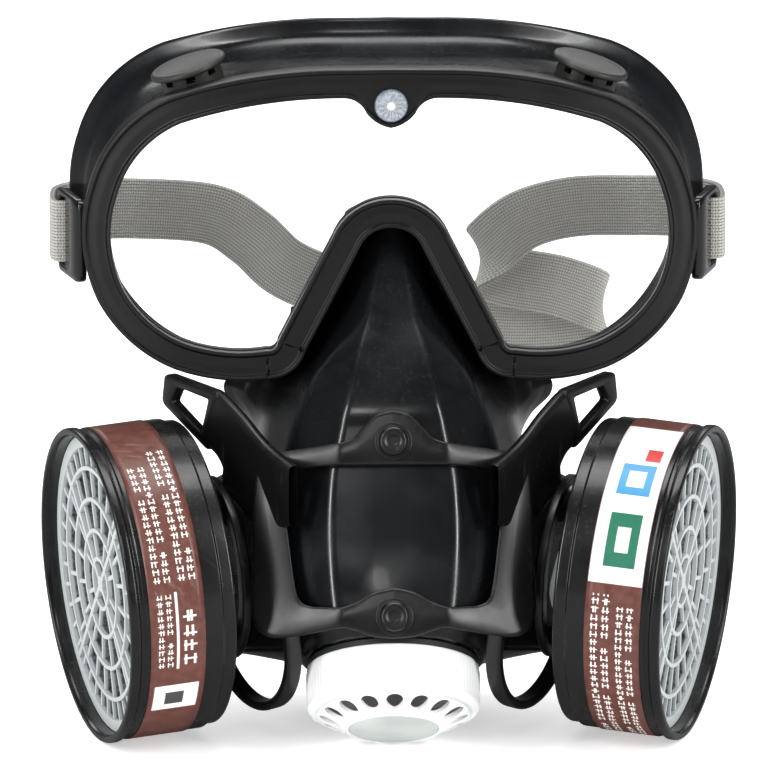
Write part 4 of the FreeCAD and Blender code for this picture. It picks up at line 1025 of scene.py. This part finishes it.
def capTop():
    # profile from the cone's top over the raised edge down to the disc's seat, turned round the axis
    c = cap
    profile = [c["coneTop"], (c["face"] + 0.1, c["length"]), (c["disc"] + 0.2, c["length"]),
               (c["disc"] + 0.1, c["length"] - 0.5), (0, c["length"] - 0.5)]
    return softened(turned(profile, outletPlace(), 96), np.array([0, 0.3, 0.15, 0.1, 0])[None, :], 4, False)


def capDisc():
    # a slightly crowned disc, turned round the cap's axis
    c = cap
    profile = [(0, c["length"] - 0.45), (c["disc"], c["length"] - 0.45), (c["disc"], c["length"] - 0.1),
               (c["disc"] - 2.0, c["length"] + 0.02), (0, c["length"] + 0.1)]
    return softened(turned(profile, outletPlace(), 96), np.array([0, 0.1, 0.2, 1.0, 0])[None, :], 4, False)


piece("outlet_cap", [(capSide(), True, True), (capTop(), True, False)] + capCone(), finish["valve_white"],
      "exhalation_cap", ["exhalation_cap"])
piece("outlet_cap_disc", [(capDisc(), True, False)], finish["valve_grey"], "exhalation_cap")
print("outlet cap done")


# yoke

yoke = {"front": -74.0, "middle": -37.0, "lean": 20.0, "thick": 2.6, "flat": 14.4, "fold": 0.44,
        "turn": 55.0,
        "collarOuter": 25.0, "collarInner": 20.4, "collarAt": (-9.2, -6.8)}
yokeFrontPairs = [  # outline point, opening point, from the top round one side to the bottom
    ((0, 33.3), (0, 18.4)), ((4.4, 32.1), (3.6, 18.4)), ((8.0, 28.8), (7.0, 18.4)),
    ((10.6, 25.9), (10.0, 18.4)),
    ((13.8, 24.6), (13.4, 18.4)), ((15.2, 24.4), (15.0, 18.4)), ((26, 23.2), (23.6, 18.2)),
    ((34, 22.2), (27.6, 17.4)),
    ((36.6, 18), (29.4, 15.0)), ((37.4, 10), (29.5, 10.6)), ((37.8, -2), (28.0, -2)),
    ((38.2, -14), (26.6, -13)),
    ((37.8, -22.4), (25.2, -17.6)), ((34.4, -26.4), (22.4, -19.2)), ((29, -27.2), (18.6, -19.6)),
    ((20, -26.2), (15.2, -19.9)), ((14, -25.5), (13.0, -19.6)), ((10.5, -26.2), (9.6, -18.2)),
    ((5.4, -27.9), (5.4, -15.9)), ((0, -28.4), (0, -14.6))]
yokeLoop = [((60.4, -4.4), (56.6, -7.3)), ((45.6, -5.2), (48.6, -8.0)), ((48.4, -22.6), (50.6, -17.8)),
            ((61.2, -12.9), (58.2, -11.8))]
yokeWeb = [((27.0, -19.5), (27.0, -36.0)), ((32.0, -17.0), (34.0, -38.6)), ((36.0, -14.0), (41.0, -40.0)),
           ((39.5, -10.6), (44.6, -37.5)), ((42.5, -8.1), (45.0, -32.0)),
           ((45.0, -6.2), (44.6, -27.0)), ((46.4, -5.6), (46.4, -23.2)), ((47.6, -5.4), (49.4, -20.8))]
barSection = np.array([[0, 1], [0, 0.22], [0.03, 0.07], [0.09, 0], [0.5, -0.05], [0.91, 0], [0.97, 0.07],
                       [1, 0.22], [1, 1], [0.97, 1.05], [0.03, 1.05]])


def yokePlace():
    lean = math.radians(yoke["lean"])
    place = np.eye(4)
    place[:3, 1], place[:3, 2] = (0, math.cos(lean), -math.sin(lean)), (0, math.sin(lean), math.cos(lean))
    place[:3, 3] = (0, yoke["front"], yoke["middle"])
    return place


def bandBetween(outer, inner):
    # section coordinate 0 lies on the inner edge and 1 on the outer one; the second coordinate is the depth
    s = barSection
    flat = inner[:, None] * (1 - s[None, :, :1]) + outer[:, None] * s[None, :, :1]
    return np.concatenate([flat, np.broadcast_to(s[None, :, 1:] * yoke["thick"], flat.shape[:2] + (1,))],
                          -1)


def yokeFrontGrid():
    # flat in the middle, then each side folds straight back; the fold is rounded over a millimetre
    pairs = np.array(yokeFrontPairs, float)
    half = smoothPath(pairs.reshape(len(pairs), 4), 210)
    outer, inner = wholeLoop(half[:, :2]), wholeLoop(half[:, 2:])
    band_ = bandBetween(outer, inner)
    x, z, depth = band_[..., 0], band_[..., 1], band_[..., 2]
    past = np.abs(x) - yoke["flat"]
    fold = yoke["fold"] * (past + np.sqrt(past ** 2 + 0.5)) / 2
    return placed(yokePlace(), np.stack([x, fold + depth, z], -1))


def onArm(side, flat, depth):
    turn = math.radians(yoke["turn"])
    along = np.array([side * math.cos(turn), math.sin(turn), 0])
    out = np.array([side * math.sin(turn), -math.cos(turn), 0])
    start = np.array([side * 29.0, -67.2, 0])
    return (start + ((flat[..., :1] - 29.0) / math.cos(turn)) * along + flat[..., 1:] * np.array([0, 0, 1])
            + (yoke["thick"] / 2 - depth[..., None]) * out)


def yokeArmGrids(side):
    loop = np.array(yokeLoop, float)
    outer, inner = softened(loop[:, 0], 1.6, 9), softened(loop[:, 1], 0.7, 9)
    ring = bandBetween(outer, inner)
    web = np.array(yokeWeb, float)
    upper, lower = smoothPath(web[:, 0], 60), smoothPath(web[:, 1], 60)
    plate = bandBetween(upper, lower)
    return [(onArm(side, ring[..., :2], ring[..., 2]), True, True),
            (onArm(side, plate[..., :2], plate[..., 2]), False, True)]


def collarRing(side):
    y = yoke
    low, high = y["collarAt"]
    profile = [(y["collarInner"], low), (y["collarOuter"], low), (y["collarOuter"], high),
               (y["collarInner"], high)]
    return softened(turned(profile, cartridgePlace(side), 96), np.full((1, 4), 0.5), 4)


def neckRing(side):
    # flat bar bent through three points in one plane: circle by equal distances, as for the outline's arcs
    ends = np.array([(29.0, -70.5, -59.5), (36.5, -51.0, -89.6), (46.6, -36.0, -78.4)]) * [side, 1, 1]
    first = (ends[1] - ends[0]) / np.linalg.norm(ends[1] - ends[0])
    normal = np.cross(first, ends[2] - ends[0])
    normal /= np.linalg.norm(normal)
    second = np.cross(normal, first)
    flat = (ends - ends[0]) @ np.stack([first, second], 1)
    path = np.concatenate([flat[:1], arcPoints(flat[0], flat[1], flat[2], 70)])
    path = ends[0] + path @ np.stack([first, second])
    section = softened([(-2.3, -1.3), (2.3, -1.3), (2.3, 1.3), (-2.3, 1.3)], 0.8, 5)
    return strip(path, section, normal)


def makeYoke():
    grids = [(yokeFrontGrid(), True, True)]
    for side in sides.values():
        grids += yokeArmGrids(side) + [(collarRing(side), True, True), (neckRing(side), False, True)]
    return piece("yoke_cradle", grids, finish["yoke_plastic"], "mask", ["yoke"])


def pegHead(height):
    # round stud with a dished top
    lean = math.radians(yoke["lean"])
    base = placed(yokePlace(), np.array([0, 0, height]))
    place = axisPlace(base, (0, -math.cos(lean), math.sin(lean)))
    profile = [(2.7, -5.0), (2.7, -0.1), (5.1, -0.1), (5.1, 0.35), (4.4, 0.5), (4.1, 0.55), (4.1, 1.5),
               (3.2, 2.4), (2.5, 2.3), (1.5, 1.85), (0, 1.9)]
    cut = np.array([0.0, 0.1, 0.1, 0.2, 0.2, 0.15, 0.5, 0.5, 0.5, 0.6, 0])
    return softened(turned(profile, place, 72), cut[None, :], 4, False)


makeYoke()
for name, height in (("upper", 24.7), ("lower", -22.6)):
    piece("peg_" + name, [(pegHead(height), True, False)], finish["knob_rubber"], "mask",
          ["retaining_knob_" + name])
print("yoke done")


# shadedBed: painted shade for the bed and the rib sides below the rib tops; ribs: the ribs' own pale colour
grille = {"bedTop": 24.5, "ribFrom": 25.1, "shadedBed": ((0.05, 0.055, 0.06, 1), (0.16, 0.17, 0.175, 1)),
          "ribs": ((0.4, 0.43, 0.435, 1), (0.47, 0.5, 0.505, 1))}


def grilleMaterial(name, side):
    # pale moulded ribs over painted shade: the bed and the rib sides below the rib tops are painted dark, and
    # the height along the can's axis tells the two apart
    material, tree, shader, coords = newMaterial("grillePlastic_" + name)
    place = cartridgePlace(side)
    away = node(tree, "VectorMath", operation="SUBTRACT")
    tree.links.new(coords, away.inputs[0])
    away.inputs[1].default_value = tuple(place[:3, 3] / 1000)
    height = node(tree, "VectorMath", operation="DOT_PRODUCT")
    tree.links.new(away.outputs[0], height.inputs[0])
    height.inputs[1].default_value = tuple(place[:3, 2])
    ribs = ramp(tree, height.outputs["Value"], grille["bedTop"] / 1000, grille["ribFrom"] / 1000)
    grain = noise(tree, coords, 2600.0, 4.0)
    pale = mixColour(tree, grain, *grille["ribs"])
    dust = ramp(tree, noise(tree, coords, 900.0, 2.0), 0.4, 0.6)
    # painted shade under the rib tops, mottled by a noise
    paintedShade = mixColour(tree, dust, *grille["shadedBed"])
    tree.links.new(mixColour(tree, ribs, paintedShade, pale), shader.inputs["Base Color"])
    tree.links.new(ramp(tree, grain, 0.2, 0.8, 0.4, 0.5), shader.inputs["Roughness"])
    addBump(tree, shader, grain, 0.4, 0.00002)
    return material


for name, side in sides.items():
    finish["grille_" + name] = grilleMaterial(name, side)


def dressCad():
    # every CAD part that stays takes the finish of its own slot
    for part in frame["record"]["subparts"]:
        data = nodes[part["node"]].data
        data.materials.clear()
        data.materials.append(finish.get(part["node"], finish[part["material_slot"]]))


dressCad()


# camera, lights and floor

def aim(obj, target):
    # turns an object's -Z to the target
    direction = np.asarray(target) - np.asarray(obj.location)
    x, y, z = direction / np.linalg.norm(direction)
    obj.rotation_euler = (math.acos(-z), 0, math.atan2(-x, y))


view = {"target": (-0.0003, -0.0506, -0.0034), "azimuth": -1.2, "elevation": 13.0, "distance": 3.0,
        "field": 0.2106}


def makeCamera():
    v = view
    az, el = math.radians(v["azimuth"]), math.radians(v["elevation"])
    away = np.array([math.sin(az) * math.cos(el), -math.cos(az) * math.cos(el), math.sin(el)])
    data = bpy.data.cameras.new("view")
    camera = bpy.data.objects.new("view", data)
    bpy.context.scene.collection.objects.link(camera)
    camera.location = np.array(v["target"]) + away * v["distance"]
    aim(camera, v["target"])
    data.sensor_width = 36.0
    data.lens = 36.0 * v["distance"] / v["field"]
    bpy.context.scene.camera = camera


studio = {"reflected": 0.09, "backdrop": 1.0, "floorGlow": 0.45}
lamps = {  # place, size across and up, power
    "leftBox": ((-0.95, -0.75, 0.45), 0.14, 1.0, 8.0),
    "rightBox": ((0.95, -0.75, 0.45), 0.14, 1.0, 8.0),
    "topBox": ((0.0, 0.05, 1.2), 1.1, 0.5, 9.0),
    "frontFill": ((-0.2, -1.7, 1.2), 0.4, 0.4, 3.0),
    "backBox": ((0.0, 1.1, 0.7), 1.6, 0.4, 5.0),
}


def makeLamps():
    for name, (place, across, up, power) in lamps.items():
        data = bpy.data.lights.new(name, "AREA")
        data.shape, data.size, data.size_y, data.energy = "RECTANGLE", across, up, power
        lamp = bpy.data.objects.new(name, data)
        bpy.context.scene.collection.objects.link(lamp)
        lamp.location = place
        aim(lamp, (0.0, -0.04, -0.01))


def dull(tree):
    # one for straight views, the lens and soft bounces, and nothing for mirror reflections
    path = node(tree, "LightPath")
    notMirrored = math2(tree, "SUBTRACT", 1.0, path.outputs["Is Glossy Ray"])
    return math2(tree, "MAXIMUM", notMirrored, path.outputs["Is Transmission Ray"])


def makeWorld():
    # a white tent of light; reflections see it as a dim grey, so that black parts stay black
    world = bpy.data.worlds.new("studio")
    bpy.context.scene.world = world
    world.use_nodes = True
    tree = world.node_tree
    dim = tree.nodes["Background"]
    white = node(tree, "Background")
    mix = node(tree, "MixShader")
    dim.inputs[0].default_value = (0.93, 0.96, 1.0, 1)
    dim.inputs[1].default_value = studio["reflected"]
    white.inputs[0].default_value = (1, 1, 1, 1)
    white.inputs[1].default_value = studio["backdrop"]
    tree.links.new(dull(tree), mix.inputs[0])
    tree.links.new(dim.outputs[0], mix.inputs[1])
    tree.links.new(white.outputs[0], mix.inputs[2])
    tree.links.new(mix.outputs[0], tree.nodes["World Output"].inputs[0])
    bpy.context.scene.view_settings.view_transform = "Standard"


def makeFloor():
    low = cadBox[0][2]
    x, y = np.meshgrid(np.linspace(-3, 3, 13), np.linspace(-3, 3, 13), indexing="ij")
    mesh = bpy.data.meshes.new("floor")
    spots = np.stack([x, y, 0 * x + low], -1).reshape(-1, 3)
    mesh.from_pydata(spots.tolist(), [], gridQuads(13, 13, False, False).tolist())
    floor = bpy.data.objects.new("floor", mesh)
    bpy.context.scene.collection.objects.link(floor)
    material, tree, shader, coords = newMaterial("paleFloor")
    cloud = noise(tree, coords, 3.0)
    tint = mixColour(tree, cloud, (0.9, 0.9, 0.9, 1), (0.94, 0.94, 0.94, 1))
    tree.links.new(mixColour(tree, dull(tree), (0.25, 0.25, 0.25, 1), tint), shader.inputs["Base Color"])
    shader.inputs["Roughness"].default_value = 0.8
    shader.inputs["Emission Color"].default_value = (1, 1, 1, 1)
    glow = math2(tree, "MULTIPLY", dull(tree), studio["floorGlow"])
    tree.links.new(glow, shader.inputs["Emission Strength"])
    mesh.materials.append(material)


makeCamera()
makeLamps()
makeWorld()
makeFloor()
print("all pieces in place")
